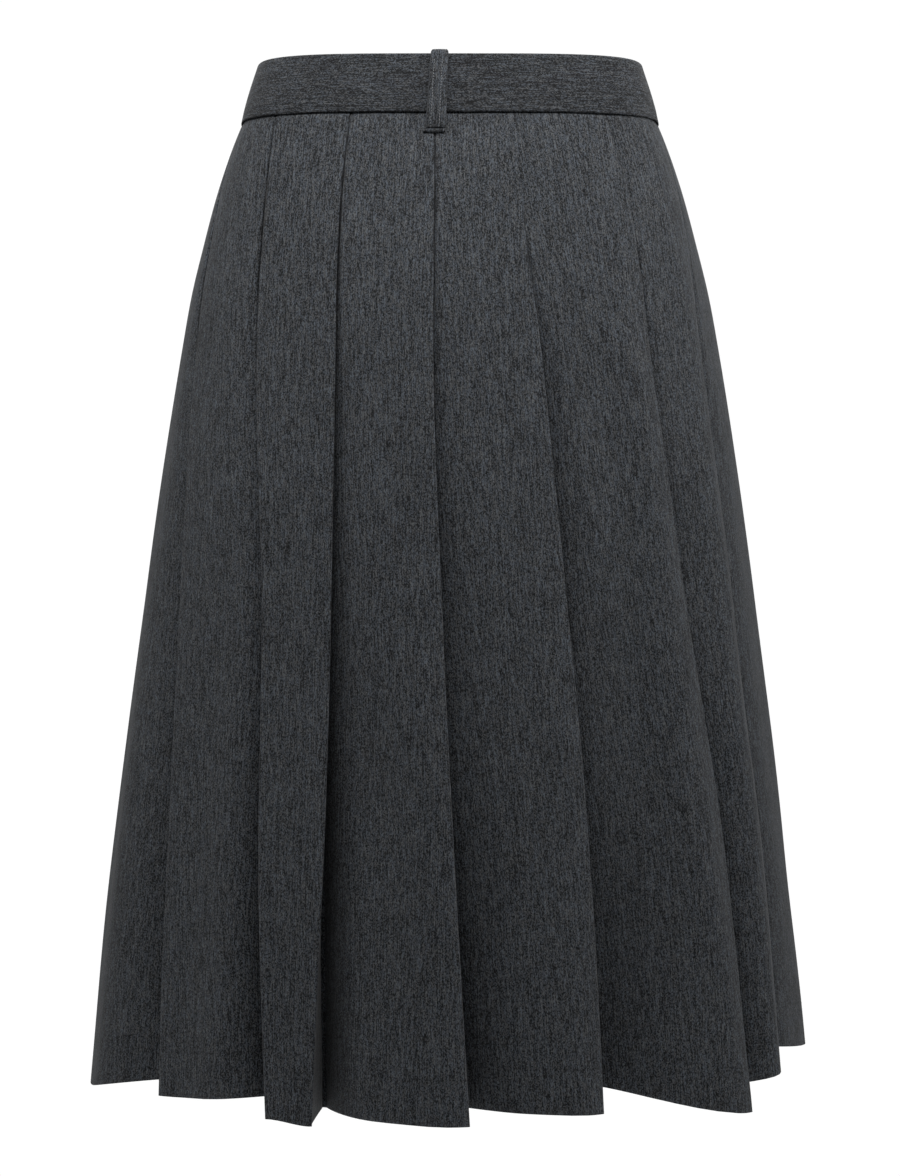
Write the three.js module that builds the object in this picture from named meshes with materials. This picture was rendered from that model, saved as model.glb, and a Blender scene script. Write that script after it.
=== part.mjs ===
import * as THREE from 'three';

// Pleated midi skirt, worn shape without a wearer, in millimetres.
// +Z is up, the back of the skirt faces -Y, +X is on the right when the back is seen.
// The origin is the middle of the waist, level with the waist seam.

// Cloth and seams
const WALL = 1.1; // one layer of skirt cloth
const LAYER_PITCH = 1.6; // middle of one layer to the middle of the next in a pressed pleat
const FOLD_RADIUS = LAYER_PITCH / 2;
const SEAM_GAP = 0.3; // clearance between two pieces at a seam

// Levels
const SKIRT_TOP = -SEAM_GAP;
const HEM_LEVEL = -640; // middle height of the hem, where the tables below end
const BAND_BOTTOM = 0;
const BAND_TOP = 40.3;
const BAND_WALL = 2.2; // the band is two layers and a stiffener

// The filled-out form: half width, half depth and squareness of the back and of the front.
// A squareness of 2 is an ellipse, 3 has a flat middle and tight corners.
const SECTIONS = [
  { z: -680, halfWidth: 246, halfDepth: 213, squareBack: 2, squareFront: 2 },
  { z: -625, halfWidth: 241.3, halfDepth: 207.6, squareBack: 2, squareFront: 2 },
  { z: -520, halfWidth: 231.3, halfDepth: 194.8, squareBack: 2.03, squareFront: 2 },
  { z: -390, halfWidth: 215.7, halfDepth: 177.3, squareBack: 2.06, squareFront: 2 },
  { z: -250, halfWidth: 196.9, halfDepth: 156.3, squareBack: 2.18, squareFront: 2.05 },
  { z: -183, halfWidth: 187.1, halfDepth: 145.3, squareBack: 2.27, squareFront: 2.08 },
  { z: -150, halfWidth: 181.6, halfDepth: 139.3, squareBack: 2.35, squareFront: 2.12 },
  { z: -115, halfWidth: 175.1, halfDepth: 132, squareBack: 2.47, squareFront: 2.18 },
  { z: -80, halfWidth: 166.4, halfDepth: 123.7, squareBack: 2.65, squareFront: 2.25 },
  { z: -48, halfWidth: 157.6, halfDepth: 114.6, squareBack: 2.92, squareFront: 2.35 },
  { z: -25, halfWidth: 149.9, halfDepth: 107.5, squareBack: 3.2, squareFront: 2.43 },
  { z: -10, halfWidth: 144, halfDepth: 102, squareBack: 3.55, squareFront: 2.5 },
  { z: 0, halfWidth: 139.6, halfDepth: 98.8, squareBack: 3.85, squareFront: 2.55 },
  { z: 8, halfWidth: 137.9, halfDepth: 96.6, squareBack: 3.9, squareFront: 2.55 },
  { z: 20, halfWidth: 134.7, halfDepth: 93.4, squareBack: 3.9, squareFront: 2.55 },
  { z: 42, halfWidth: 127.8, halfDepth: 86.7, squareBack: 3.9, squareFront: 2.55 },
];

// How a pleat opens on its way down: how far the cloth runs back under the fold edge, how much
// deeper than pressed layers its inner fold lies, how long the next face takes to come up again,
// how hollow that rise is, and the share of the overlap that it stays flat for.
const OPENING = [
  { z: -680, overlap: 11, valley: 39, rise: 112, hollow: 2.7, flat: 0 },
  { z: -640, overlap: 12, valley: 36, rise: 108, hollow: 2.7, flat: 0 },
  { z: -480, overlap: 17, valley: 24, rise: 85, hollow: 2.5, flat: 0.1 },
  { z: -320, overlap: 22, valley: 12, rise: 56, hollow: 2.2, flat: 0.4 },
  { z: -160, overlap: 27, valley: 3, rise: 22, hollow: 1.8, flat: 0.9 },
  { z: -60, overlap: 29, valley: 0.4, rise: 13, hollow: 1.5, flat: 1 },
  { z: 0, overlap: 30, valley: 0, rise: 12, hollow: 1.5, flat: 1 },
];

// Heights at which the fold table gives the place of each fold edge
const FOLD_LEVELS = [0, -60, -160, -320, -480, -640];

// Fold edges in order round the skirt, from the front over its left half, the back and the right.
// side: the way the edge points, +1 towards +X across the back. at: place at each level as a share
// of half the way round, 0 at the centre of the back. tuck, depth: overlap and depth against the
// table above. hemUnder, hemTop: height of the hem beneath the edge and on its upper face.
const FOLDS = [
  {
    name: 'front_4', side: -1, at: [-0.945, -0.945, -0.942, -0.94, -0.937, -0.935],
    tuck: 1, depth: 0.9, hemUnder: -636, hemTop: -643,
  },
  {
    name: 'front_3', side: -1, at: [-0.8, -0.798, -0.793, -0.787, -0.783, -0.78],
    tuck: 1, depth: 1.1, hemUnder: -634, hemTop: -641,
  },
  {
    name: 'front_2', side: -1, at: [-0.66, -0.655, -0.647, -0.637, -0.63, -0.625],
    tuck: 1, depth: 0.85, hemUnder: -637, hemTop: -644,
  },
  {
    name: 'side_left', side: -1, at: [-0.54, -0.527, -0.503, -0.485, -0.477, -0.47],
    tuck: 1, depth: 0.9, hemUnder: -636, hemTop: -643,
  },
  {
    name: 'back_left_2', side: -1, at: [-0.425, -0.391, -0.37, -0.337, -0.312, -0.296],
    tuck: 0.95, depth: 1, hemUnder: -628, hemTop: -637,
  },
  {
    name: 'back_left_1', side: -1, at: [-0.287, -0.27, -0.25, -0.21, -0.19, -0.168],
    tuck: 0.8, depth: 0.75, hemUnder: -632, hemTop: -644,
  },
  {
    name: 'back_right_1', side: 1, at: [-0.162, -0.156, -0.143, -0.13, -0.123, -0.124],
    tuck: 0.8, depth: 1, hemUnder: -641, hemTop: -647,
  },
  {
    name: 'back_right_2', side: 1, at: [-0.026, -0.023, -0.021, -0.009, 0.004, 0.017],
    tuck: 1, depth: 0.85, hemUnder: -637, hemTop: -645,
  },
  {
    name: 'back_right_3', side: 1, at: [0.105, 0.101, 0.113, 0.127, 0.138, 0.144],
    tuck: 1, depth: 0.9, hemUnder: -626, hemTop: -641,
  },
  {
    name: 'back_right_4', side: 1, at: [0.25, 0.262, 0.259, 0.273, 0.292, 0.302],
    tuck: 1, depth: 1, hemUnder: -632, hemTop: -647,
  },
  {
    name: 'back_right_5', side: 1, at: [0.392, 0.383, 0.352, 0.353, 0.353, 0.351],
    tuck: 1, depth: 1, hemUnder: -613, hemTop: -627,
  },
  {
    name: 'side_right', side: 1, at: [0.503, 0.5, 0.499, 0.5, 0.5, 0.5],
    tuck: 1, depth: 0.9, hemUnder: -630, hemTop: -624,
  },
  {
    name: 'front_right_2', side: 1, at: [0.645, 0.646, 0.646, 0.646, 0.645, 0.645],
    tuck: 1, depth: 1.1, hemUnder: -633, hemTop: -642,
  },
  {
    name: 'front_right_3', side: 1, at: [0.795, 0.795, 0.794, 0.792, 0.791, 0.79],
    tuck: 1, depth: 0.95, hemUnder: -636, hemTop: -640,
  },
  {
    name: 'front_right_4', side: 1, at: [0.945, 0.945, 0.942, 0.94, 0.937, 0.935],
    tuck: 1, depth: 0.9, hemUnder: -635, hemTop: -644,
  },
];

// The side seams are hidden in the inner folds of these two
const SEAM_FOLDS = ['side_left', 'side_right'];
const FULL_ROUND = 2; // in shares of half the way round

// Heights of the rows of points, as shares of the way from the waist seam to the hem
const SKIRT_ROWS = [0, 0.03, 0.07, 0.12, 0.19, 0.27, 0.36, 0.46, 0.56, 0.66, 0.76, 0.86, 0.94, 1];
const RISE_STEPS = [0.1, 0.26, 0.5, 1]; // points along the hollow of a face
const LAYER_STEPS = [0.34, 0.67]; // points along the layers of a pleat, the same in all three
const LAYER_ROOM = 0.7; // the layers' points take at most this share of a narrow face
const VALLEY_RUN = 3; // a face leaves its inner fold level for this length before it rises
const RISE_MAX = 0.88; // a rise never takes more than this share of its face
const INVERTED_RISE_MAX = 0.44; // or this, where a face goes under at both sides

// Band
const BAND_COLUMNS = 96;
const BAND_ROWS = 4;

// Belt loops: a strap that stands off the band and turns in over its top edge.
// out: how far its middle lies outside the filled-out form.
const LOOP_WIDTH = 12.6;
const LOOP_WALL = 1.4;
const LOOP_COLUMNS = 3;
const LOOP_PATH = [
  { z: -13.2, out: 1.65 },
  { z: -9.5, out: 1.7 },
  { z: -4, out: 3.1 },
  { z: 8, out: 4.3 },
  { z: 22, out: 4.6 },
  { z: 34, out: 4.2 },
  { z: 40.2, out: 3.2 },
  { z: 42, out: 1.9 },
  { z: 42.1, out: 0.4 },
];
const LOOPS = [
  { name: 'belt_loop_back', at: -0.0205 },
  { name: 'belt_loop_front_left', at: -0.735 },
  { name: 'belt_loop_front_right', at: 0.735 },
];

// Arc length is summed over this many steps of half the way round
const ARC_STEPS = 240;
const MITRE_MAX = 1.45;

/** Smooth value between the entries of xs (rising), through every value of ys. */
function smooth(xs, ys, x) {
  const last = xs.length - 1;
  if (x <= xs[0]) return ys[0];
  if (x >= xs[last]) return ys[last];
  let i = 0;
  while (x > xs[i + 1]) i += 1;
  const step = xs[i + 1] - xs[i];
  const slope = (j) => {
    if (j === 0) return (ys[1] - ys[0]) / (xs[1] - xs[0]);
    if (j === last) return (ys[last] - ys[last - 1]) / (xs[last] - xs[last - 1]);
    const before = (ys[j] - ys[j - 1]) / (xs[j] - xs[j - 1]);
    const after = (ys[j + 1] - ys[j]) / (xs[j + 1] - xs[j]);
    return before * after <= 0 ? 0 : (2 * before * after) / (before + after);
  };
  const t = (x - xs[i]) / step;
  const h00 = (1 + 2 * t) * (1 - t) ** 2;
  const h10 = t * (1 - t) ** 2;
  const h01 = t * t * (3 - 2 * t);
  const h11 = t * t * (t - 1);
  return h00 * ys[i] + h10 * step * slope(i) + h01 * ys[i + 1] + h11 * step * slope(i + 1);
}

/** Value of a named column of a table whose rows rise in z. */
function column(table, name, z) {
  return smooth(table.map((row) => row.z), table.map((row) => row[name]), z);
}

/** Place of a fold edge at a height. */
function foldPlace(fold, z) {
  const levels = [...FOLD_LEVELS].reverse();
  const places = [...fold.at].reverse();
  return smooth(levels, places, z);
}

const ringCache = new Map();

/** Half of the filled-out form at a height, from the centre of the back to the centre of the front. */
function halfRing(z) {
  const key = z.toFixed(3);
  if (ringCache.has(key)) return ringCache.get(key);
  const a = column(SECTIONS, 'halfWidth', z);
  const b = column(SECTIONS, 'halfDepth', z);
  const back = column(SECTIONS, 'squareBack', z);
  const front = column(SECTIONS, 'squareFront', z);
  const points = [];
  for (let i = 0; i <= ARC_STEPS; i += 1) {
    // Steps are closer at the middle of the back and front, where a squared form runs fast
    const w = i / ARC_STEPS;
    const eased = w < 0.5 ? 2 * w * w : 1 - 2 * (1 - w) ** 2;
    const t = Math.PI * (0.5 * w + 0.5 * eased);
    const power = 2 / (t < Math.PI / 2 ? back : front);
    const s = Math.abs(Math.sin(t));
    const c = Math.cos(t);
    points.push([a * s ** power, -b * Math.sign(c) * Math.abs(c) ** power]);
  }
  const arc = [0];
  for (let i = 1; i <= ARC_STEPS; i += 1) {
    arc.push(arc[i - 1] + Math.hypot(points[i][0] - points[i - 1][0], points[i][1] - points[i - 1][1]));
  }
  const ring = { points, arc, length: arc[ARC_STEPS] };
  ringCache.set(key, ring);
  return ring;
}

/** Point of the half ring at an arc length. */
function alongRing(ring, length) {
  const want = Math.min(Math.max(length, 0), ring.length);
  let low = 0;
  let high = ARC_STEPS;
  while (high - low > 1) {
    const mid = (low + high) >> 1;
    if (ring.arc[mid] <= want) low = mid;
    else high = mid;
  }
  const t = (want - ring.arc[low]) / (ring.arc[high] - ring.arc[low]);
  const [p, q] = [ring.points[low], ring.points[high]];
  return [p[0] + (q[0] - p[0]) * t, p[1] + (q[1] - p[1]) * t];
}

/** Point of the form at a height and place, moved inwards along the form's normal. */
function formPoint(z, place, inward) {
  const turned = place > 1 ? place - FULL_ROUND : place;
  const hand = turned < 0 ? -1 : 1;
  const ring = halfRing(z);
  const length = Math.abs(turned) * ring.length;
  const reach = 3; // the normal is taken over this length each way
  const [x, y] = alongRing(ring, length);
  const before = alongRing(ring, length - reach);
  const after = alongRing(ring, length + reach);
  let tx = after[0] - before[0];
  let ty = after[1] - before[1];
  if (length < reach) ty = (ty * length) / reach;
  if (length > ring.length - reach) ty = (ty * (ring.length - length)) / reach;
  const size = Math.hypot(tx, ty);
  tx /= size;
  ty /= size;
  return new THREE.Vector3(hand * (x - ty * inward), y + tx * inward, z);
}

/** Depth of a face that comes up from under a fold, at a distance from where it starts. */
function risingDepth(distance, full, flat, rise, hollow) {
  const t = Math.min(Math.max((distance - flat) / rise, 0), 1);
  return full * (1 - t) ** hollow;
}

/** How one fold lies at a height: its edge and inner fold, in mm of arc, and its depth. */
function foldShape(fold, z, halfLength, turns) {
  const overlap = column(OPENING, 'overlap', z) * fold.tuck;
  const valley = column(OPENING, 'valley', z) * fold.depth;
  const edge = (foldPlace(fold, z) + turns * FULL_ROUND) * halfLength;
  return {
    edge,
    inner: edge - fold.side * overlap,
    under: LAYER_PITCH + valley,
    bottom: 2 * LAYER_PITCH + valley,
    flat: column(OPENING, 'flat', z) * overlap,
    rise: column(OPENING, 'rise', z),
    hollow: column(OPENING, 'hollow', z),
    side: fold.side,
  };
}

/**
 * Points of the face between two folds: arc, depth and share of the way along the face.
 * Over a neighbour's underlay the face has points at the same arcs as the layers beneath, so that
 * their straight runs stay parallel where the form curves.
 */
function facePoints(from, to) {
  const startsUnder = from.side > 0;
  const endsUnder = to.side < 0;
  const start = startsUnder ? from.inner + FOLD_RADIUS : from.edge + FOLD_RADIUS;
  const end = endsUnder ? to.inner - FOLD_RADIUS : to.edge - FOLD_RADIUS;
  const width = end - start;
  const limit = startsUnder && endsUnder ? INVERTED_RISE_MAX : RISE_MAX;
  const rises = (fold) => {
    const flat = Math.max(fold.flat, VALLEY_RUN);
    return { flat, rise: Math.min(fold.rise, width * limit - flat) };
  };
  const first = rises(from);
  const second = rises(to);
  const riseAt = (shape, step) => shape.flat + step * shape.rise;
  const places = [0];
  if (startsUnder) {
    LAYER_STEPS.forEach((step) => places.push(first.flat * step));
    places.push(first.flat);
    RISE_STEPS.forEach((step) => places.push(riseAt(first, step)));
  } else {
    const inner = from.inner - start;
    const room = endsUnder ? width - riseAt(second, 1) : to.inner - start;
    const reach = Math.min(inner, room * LAYER_ROOM);
    LAYER_STEPS.forEach((step) => places.push(reach * step));
    places.push(reach);
  }
  if (startsUnder && endsUnder) places.push(width / 2);
  if (endsUnder) {
    [...RISE_STEPS].reverse().forEach((step) => places.push(width - riseAt(second, step)));
    places.push(width - second.flat);
    [...LAYER_STEPS].reverse().forEach((step) => places.push(width - second.flat * step));
  } else {
    const inner = end - to.inner;
    const room = startsUnder ? width - riseAt(first, 1) : end - from.inner;
    const reach = Math.min(inner, room * LAYER_ROOM);
    places.push(width - reach);
    [...LAYER_STEPS].reverse().forEach((step) => places.push(width - reach * step));
  }
  places.push(width);
  return places.map((place) => {
    let depth = 0;
    if (startsUnder) depth += risingDepth(place, from.bottom, first.flat, first.rise, from.hollow);
    if (endsUnder) depth += risingDepth(width - place, to.bottom, second.flat, second.rise, to.hollow);
    return { arc: start + place, depth, share: place / width };
  });
}

/** Height of the hem where a fold's underlay, or one of its two faces, ends. */
function hemBefore(fold) {
  return fold.side > 0 ? fold.hemTop : fold.hemUnder;
}

function hemAfter(fold) {
  return fold.side > 0 ? fold.hemUnder : fold.hemTop;
}

/** One level of the cloth from one side seam to the other, as points in the middle of the wall. */
function clothRow(first, last, rowShare) {
  const level = SKIRT_TOP + (HEM_LEVEL - SKIRT_TOP) * rowShare;
  const halfLength = halfRing(level).length;
  const row = [];
  const add = (arc, depth, hem) => {
    const z = SKIRT_TOP + (hem - SKIRT_TOP) * rowShare;
    row.push(formPoint(z, arc / halfLength, depth));
  };
  const foldAt = (index) => FOLDS[index % FOLDS.length];
  const shapeAt = (index) => foldShape(foldAt(index), level, halfLength, Math.floor(index / FOLDS.length));
  for (let index = first; index <= last; index += 1) {
    const fold = foldAt(index);
    const shape = shapeAt(index);
    const { edge, inner, under, bottom, side } = shape;
    const after = hemAfter(fold);
    // The cloth turns round the upper edge, runs back under it and turns round the inner fold
    const round = [
      [edge, FOLD_RADIUS, fold.hemTop],
      [edge - side * FOLD_RADIUS, LAYER_PITCH, fold.hemTop],
      ...LAYER_STEPS.map((step) => [
        edge + (inner - edge) * step,
        LAYER_PITCH + (under - LAYER_PITCH) * step,
        fold.hemTop + (fold.hemUnder - fold.hemTop) * step,
      ]),
      [inner + side * FOLD_RADIUS, under, fold.hemUnder],
    ];
    const turn = [[inner, (under + bottom) / 2, fold.hemUnder]];
    const sequence = side > 0 ? [...round, ...turn] : [...turn, ...[...round].reverse()];
    // A strip begins and ends in the inner fold of its seam
    const startsHere = index === first;
    const endsHere = index === last;
    if (startsHere && side > 0) sequence.length = 0;
    if (startsHere && side < 0) sequence.shift();
    if (endsHere && side > 0) sequence.pop();
    if (endsHere && side < 0) sequence.length = 0;
    sequence.forEach(([arc, depth, hem]) => add(arc, depth, hem));
    if (!endsHere) {
      const next = shapeAt(index + 1);
      const hemStart = after;
      const hemEnd = hemBefore(foldAt(index + 1));
      facePoints(shape, next).forEach((point) => {
        add(point.arc, point.depth, hemStart + (hemEnd - hemStart) * point.share);
      });
    }
  }
  return row;
}

/** Sideways directions of a level line, lengthened at bends so that the wall keeps its thickness. */
function rowNormals(row, closed) {
  const count = row.length;
  const direction = (p, q) => new THREE.Vector2(q.x - p.x, q.y - p.y).normalize();
  return row.map((point, i) => {
    const before = closed ? row[(i + count - 1) % count] : row[Math.max(i - 1, 0)];
    const after = closed ? row[(i + 1) % count] : row[Math.min(i + 1, count - 1)];
    const coming = before === point ? direction(point, after) : direction(before, point);
    const going = after === point ? coming : direction(point, after);
    const mean = coming.clone().add(going).normalize();
    const mitre = Math.min(1 / Math.max(mean.dot(going), 0.1), MITRE_MAX);
    return new THREE.Vector3(mean.y * mitre, -mean.x * mitre, 0);
  });
}

/** Closed wall from level lines: rows of points in the middle of the wall, top row first. */
function wallFromRows(rows, thickness, closed) {
  const columns = rows[0].length;
  const outer = [];
  const inner = [];
  rows.forEach((row) => {
    const normals = rowNormals(row, closed);
    row.forEach((point, i) => {
      outer.push(point.clone().addScaledVector(normals[i], thickness / 2));
      inner.push(point.clone().addScaledVector(normals[i], -thickness / 2));
    });
  });
  return shellGeometry(outer, inner, columns, rows.length, closed);
}

/** Triangles of a shell from its two grids of points, rows downwards, columns towards +X at the back. */
function shellGeometry(outer, inner, columns, rowCount, closed) {
  const points = [...outer, ...inner];
  const offset = outer.length;
  const index = [];
  const quad = (a, b, c, d) => index.push(a, b, c, a, c, d);
  const at = (r, c) => r * columns + (c % columns);
  const spans = closed ? columns : columns - 1;
  for (let r = 0; r < rowCount - 1; r += 1) {
    for (let c = 0; c < spans; c += 1) {
      quad(at(r, c), at(r + 1, c), at(r + 1, c + 1), at(r, c + 1));
      quad(offset + at(r, c), offset + at(r, c + 1), offset + at(r + 1, c + 1), offset + at(r + 1, c));
    }
  }
  const bottom = rowCount - 1;
  for (let c = 0; c < spans; c += 1) {
    quad(at(0, c), at(0, c + 1), offset + at(0, c + 1), offset + at(0, c));
    quad(at(bottom, c), offset + at(bottom, c), offset + at(bottom, c + 1), at(bottom, c + 1));
  }
  if (!closed) {
    const end = columns - 1;
    for (let r = 0; r < bottom; r += 1) {
      quad(at(r, 0), offset + at(r, 0), offset + at(r + 1, 0), at(r + 1, 0));
      quad(at(r, end), at(r + 1, end), offset + at(r + 1, end), offset + at(r, end));
    }
  }
  const coordinates = points.flatMap((point) => [point.x, point.y, point.z]);
  const geometry = new THREE.BufferGeometry();
  geometry.setAttribute('position', new THREE.Float32BufferAttribute(coordinates, 3));
  geometry.setIndex(index);
  geometry.computeVertexNormals();
  return geometry;
}

function skirtPanel(firstFold, lastFold) {
  const rows = SKIRT_ROWS.map((share) => clothRow(firstFold, lastFold, share));
  return wallFromRows(rows, WALL, false);
}

function waistband() {
  const rows = [];
  for (let r = 0; r < BAND_ROWS; r += 1) {
    const z = BAND_TOP + ((BAND_BOTTOM - BAND_TOP) * r) / (BAND_ROWS - 1);
    const row = [];
    for (let c = 0; c < BAND_COLUMNS; c += 1) {
      row.push(formPoint(z, -1 + (FULL_ROUND * (c + 0.5)) / BAND_COLUMNS, 0));
    }
    rows.push(row);
  }
  return wallFromRows(rows, BAND_WALL, true);
}

function beltLoop(place) {
  const path = [...LOOP_PATH].reverse();
  const outer = [];
  const inner = [];
  path.forEach((step, r) => {
    const before = path[Math.max(r - 1, 0)];
    const after = path[Math.min(r + 1, path.length - 1)];
    // The strap's sideways direction in the upright plane: outwards and upwards
    const along = new THREE.Vector2(after.out - before.out, after.z - before.z).normalize();
    const push = new THREE.Vector2(-along.y, along.x).multiplyScalar(LOOP_WALL / 2);
    const width = LOOP_WIDTH / halfRing(step.z).length;
    for (let c = 0; c < LOOP_COLUMNS; c += 1) {
      const across = place + width * (c / (LOOP_COLUMNS - 1) - 0.5);
      const baseOut = formPoint(step.z, across, -step.out - push.x);
      const baseIn = formPoint(step.z, across, -step.out + push.x);
      outer.push(baseOut.setZ(step.z + push.y));
      inner.push(baseIn.setZ(step.z - push.y));
    }
  });
  return shellGeometry(outer, inner, LOOP_COLUMNS, path.length, false);
}

function part(name, geometry, colour) {
  const material = new THREE.MeshStandardMaterial({ color: colour, roughness: 0.85, side: THREE.DoubleSide });
  material.name = `${name}_cloth`;
  const mesh = new THREE.Mesh(geometry, material);
  mesh.name = name;
  return mesh;
}

const SKIRT_COLOUR = 0x46484b;
const BAND_COLOUR = 0x3c3e41;

const leftSeam = FOLDS.findIndex((fold) => fold.name === SEAM_FOLDS[0]);
const rightSeam = FOLDS.findIndex((fold) => fold.name === SEAM_FOLDS[1]);

const group = new THREE.Group();
group.name = 'pleated_skirt';
group.add(part('skirt_back', skirtPanel(leftSeam, rightSeam), SKIRT_COLOUR));
group.add(part('skirt_front', skirtPanel(rightSeam, leftSeam + FOLDS.length), SKIRT_COLOUR));
group.add(part('waistband', waistband(), BAND_COLOUR));
LOOPS.forEach((loop) => group.add(part(loop.name, beltLoop(loop.at), BAND_COLOUR)));

export default group;
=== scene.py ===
"""Pleated midi skirt in charcoal wool-look twill, filled out as worn, seen from behind.

Sizes are in millimetres where nothing else is said. Meshes are made in metres in the frame of the solids:
+Z is up, the back of the skirt faces -Y, and the origin is the middle of the waist at the waist seam. A
place round the skirt is a share of half the way round: 0 at the centre back, positive towards +X.
"""
import logging
import math
from collections.abc import Callable
from dataclasses import dataclass, field, fields
from enum import Enum

import bmesh
import bpy
import numpy as np
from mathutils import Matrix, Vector


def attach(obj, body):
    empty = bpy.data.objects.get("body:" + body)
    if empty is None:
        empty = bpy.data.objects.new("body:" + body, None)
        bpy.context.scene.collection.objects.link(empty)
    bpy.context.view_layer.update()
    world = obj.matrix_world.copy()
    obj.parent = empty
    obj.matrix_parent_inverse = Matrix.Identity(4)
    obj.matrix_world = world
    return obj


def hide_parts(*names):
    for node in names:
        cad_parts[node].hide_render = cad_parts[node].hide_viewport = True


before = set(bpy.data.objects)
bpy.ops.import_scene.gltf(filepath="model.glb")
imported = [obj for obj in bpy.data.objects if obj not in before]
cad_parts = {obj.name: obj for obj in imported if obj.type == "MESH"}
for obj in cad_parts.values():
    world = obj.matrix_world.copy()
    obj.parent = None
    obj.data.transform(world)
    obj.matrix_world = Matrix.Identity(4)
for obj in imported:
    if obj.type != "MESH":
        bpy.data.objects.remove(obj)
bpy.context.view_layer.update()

LOG = logging.getLogger("skirt")
MM = 0.001
FULL_ROUND = 2.0  # places in one full way round
ROOT = "root"


class Hand(Enum):
    """The way a fold edge points across the back."""

    LEFT = -1
    RIGHT = 1


class Grain(Enum):
    """The way the threads of a piece run."""

    DOWN = "down"
    ROUND = "round"


# sizes


@dataclass(frozen=True)
class Section:
    """One level of the filled-out form.

    Args:
        z: its height
        half_width: half its width
        half_depth: half its depth
        square_back: power of its back curve, 2 for an ellipse and more for a squarer one
        square_front: the same for its front curve
    """

    z: float
    half_width: float
    half_depth: float
    square_back: float
    square_front: float


@dataclass(frozen=True)
class Opening:
    """How far the pleats have opened at one level.

    Args:
        z: its height
        overlap: width of the cloth folded under each edge
        valley: how far the inner fold lies in beyond the pressed layers
        rise: length over which the next face comes up from that fold
        hollow: power of that face's curve
        flat: share of the overlap over which that face stays down
        pitch: distance from the middle of one layer to the next
    """

    z: float
    overlap: float
    valley: float
    rise: float
    hollow: float
    flat: float
    pitch: float


@dataclass(frozen=True)
class Fold:
    """One fold edge: its place at each fold level, and how the pleat lies and ends there.

    Args:
        name: the fold's name
        hand: the way its edge points
        at: its places at the fold levels
        tuck: overlap against the table of openings
        depth: depth of the inner fold against the same table
        hem_under: height of the hem beneath the edge
        hem_top: height of the hem on its upper face
        slit: how far the next face stays low beyond the edge where the pleat is pressed flat; up to 1 it also
            sets how strong the painted shade in that slit is
        pressed: share of that face's rise that is left there; at 0 the face comes up close under the
            edge and hides it
    """

    name: str
    hand: Hand
    at: tuple[float, ...]
    tuck: float
    depth: float
    hem_under: float
    hem_top: float
    slit: float = 0.5
    pressed: float = 0.14


@dataclass(frozen=True)
class Crease:
    """A soft ridge (height above 0) or trough along a line of the cloth.

    Args:
        name: what it is
        start: place and height of its upper end
        end: place and height of its lower end
        width: half its width at the upper end
        height: how far it stands out there
        end_width: half its width at the lower end
        end_height: how far it stands out there
    """

    name: str
    start: tuple[float, float]
    end: tuple[float, float]
    width: float
    height: float
    end_width: float
    end_height: float


SECTIONS = (
    Section(-680, 246.0, 213.0, 2.0, 2.0),
    Section(-625, 241.3, 207.6, 2.0, 2.0),
    Section(-520, 231.3, 194.8, 2.03, 2.0),
    Section(-390, 215.7, 177.3, 2.06, 2.0),
    Section(-250, 196.9, 156.3, 2.18, 2.05),
    Section(-183, 187.1, 145.3, 2.27, 2.08),
    Section(-150, 181.6, 139.3, 2.35, 2.12),
    Section(-115, 175.1, 132.0, 2.47, 2.18),
    Section(-80, 166.4, 123.7, 2.65, 2.25),
    Section(-48, 157.6, 114.6, 2.92, 2.35),
    Section(-25, 149.9, 107.5, 3.2, 2.43),
    Section(-10, 144.0, 102.0, 3.55, 2.5),
    Section(0, 139.6, 98.8, 3.85, 2.55),
    Section(8, 137.9, 96.6, 3.9, 2.55),
    Section(20, 134.7, 93.4, 3.9, 2.55),
    Section(42, 127.8, 86.7, 3.9, 2.55),
)

OPENINGS = (
    Opening(-680, 11, 39.0, 112, 2.7, 0.0, 2.6),
    Opening(-640, 12, 36.0, 108, 2.7, 0.0, 2.5),
    Opening(-480, 17, 24.0, 85, 2.5, 0.1, 2.0),
    Opening(-320, 22, 12.0, 56, 2.2, 0.4, 1.5),
    Opening(-160, 27, 3.0, 22, 1.8, 0.9, 1.0),
    Opening(-60, 29, 0.4, 13, 1.5, 1.0, 0.8),
    Opening(0, 30, 0.0, 12, 1.5, 1.0, 0.75),
)

FOLD_LEVELS = (0.0, -60.0, -160.0, -320.0, -480.0, -640.0)

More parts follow.
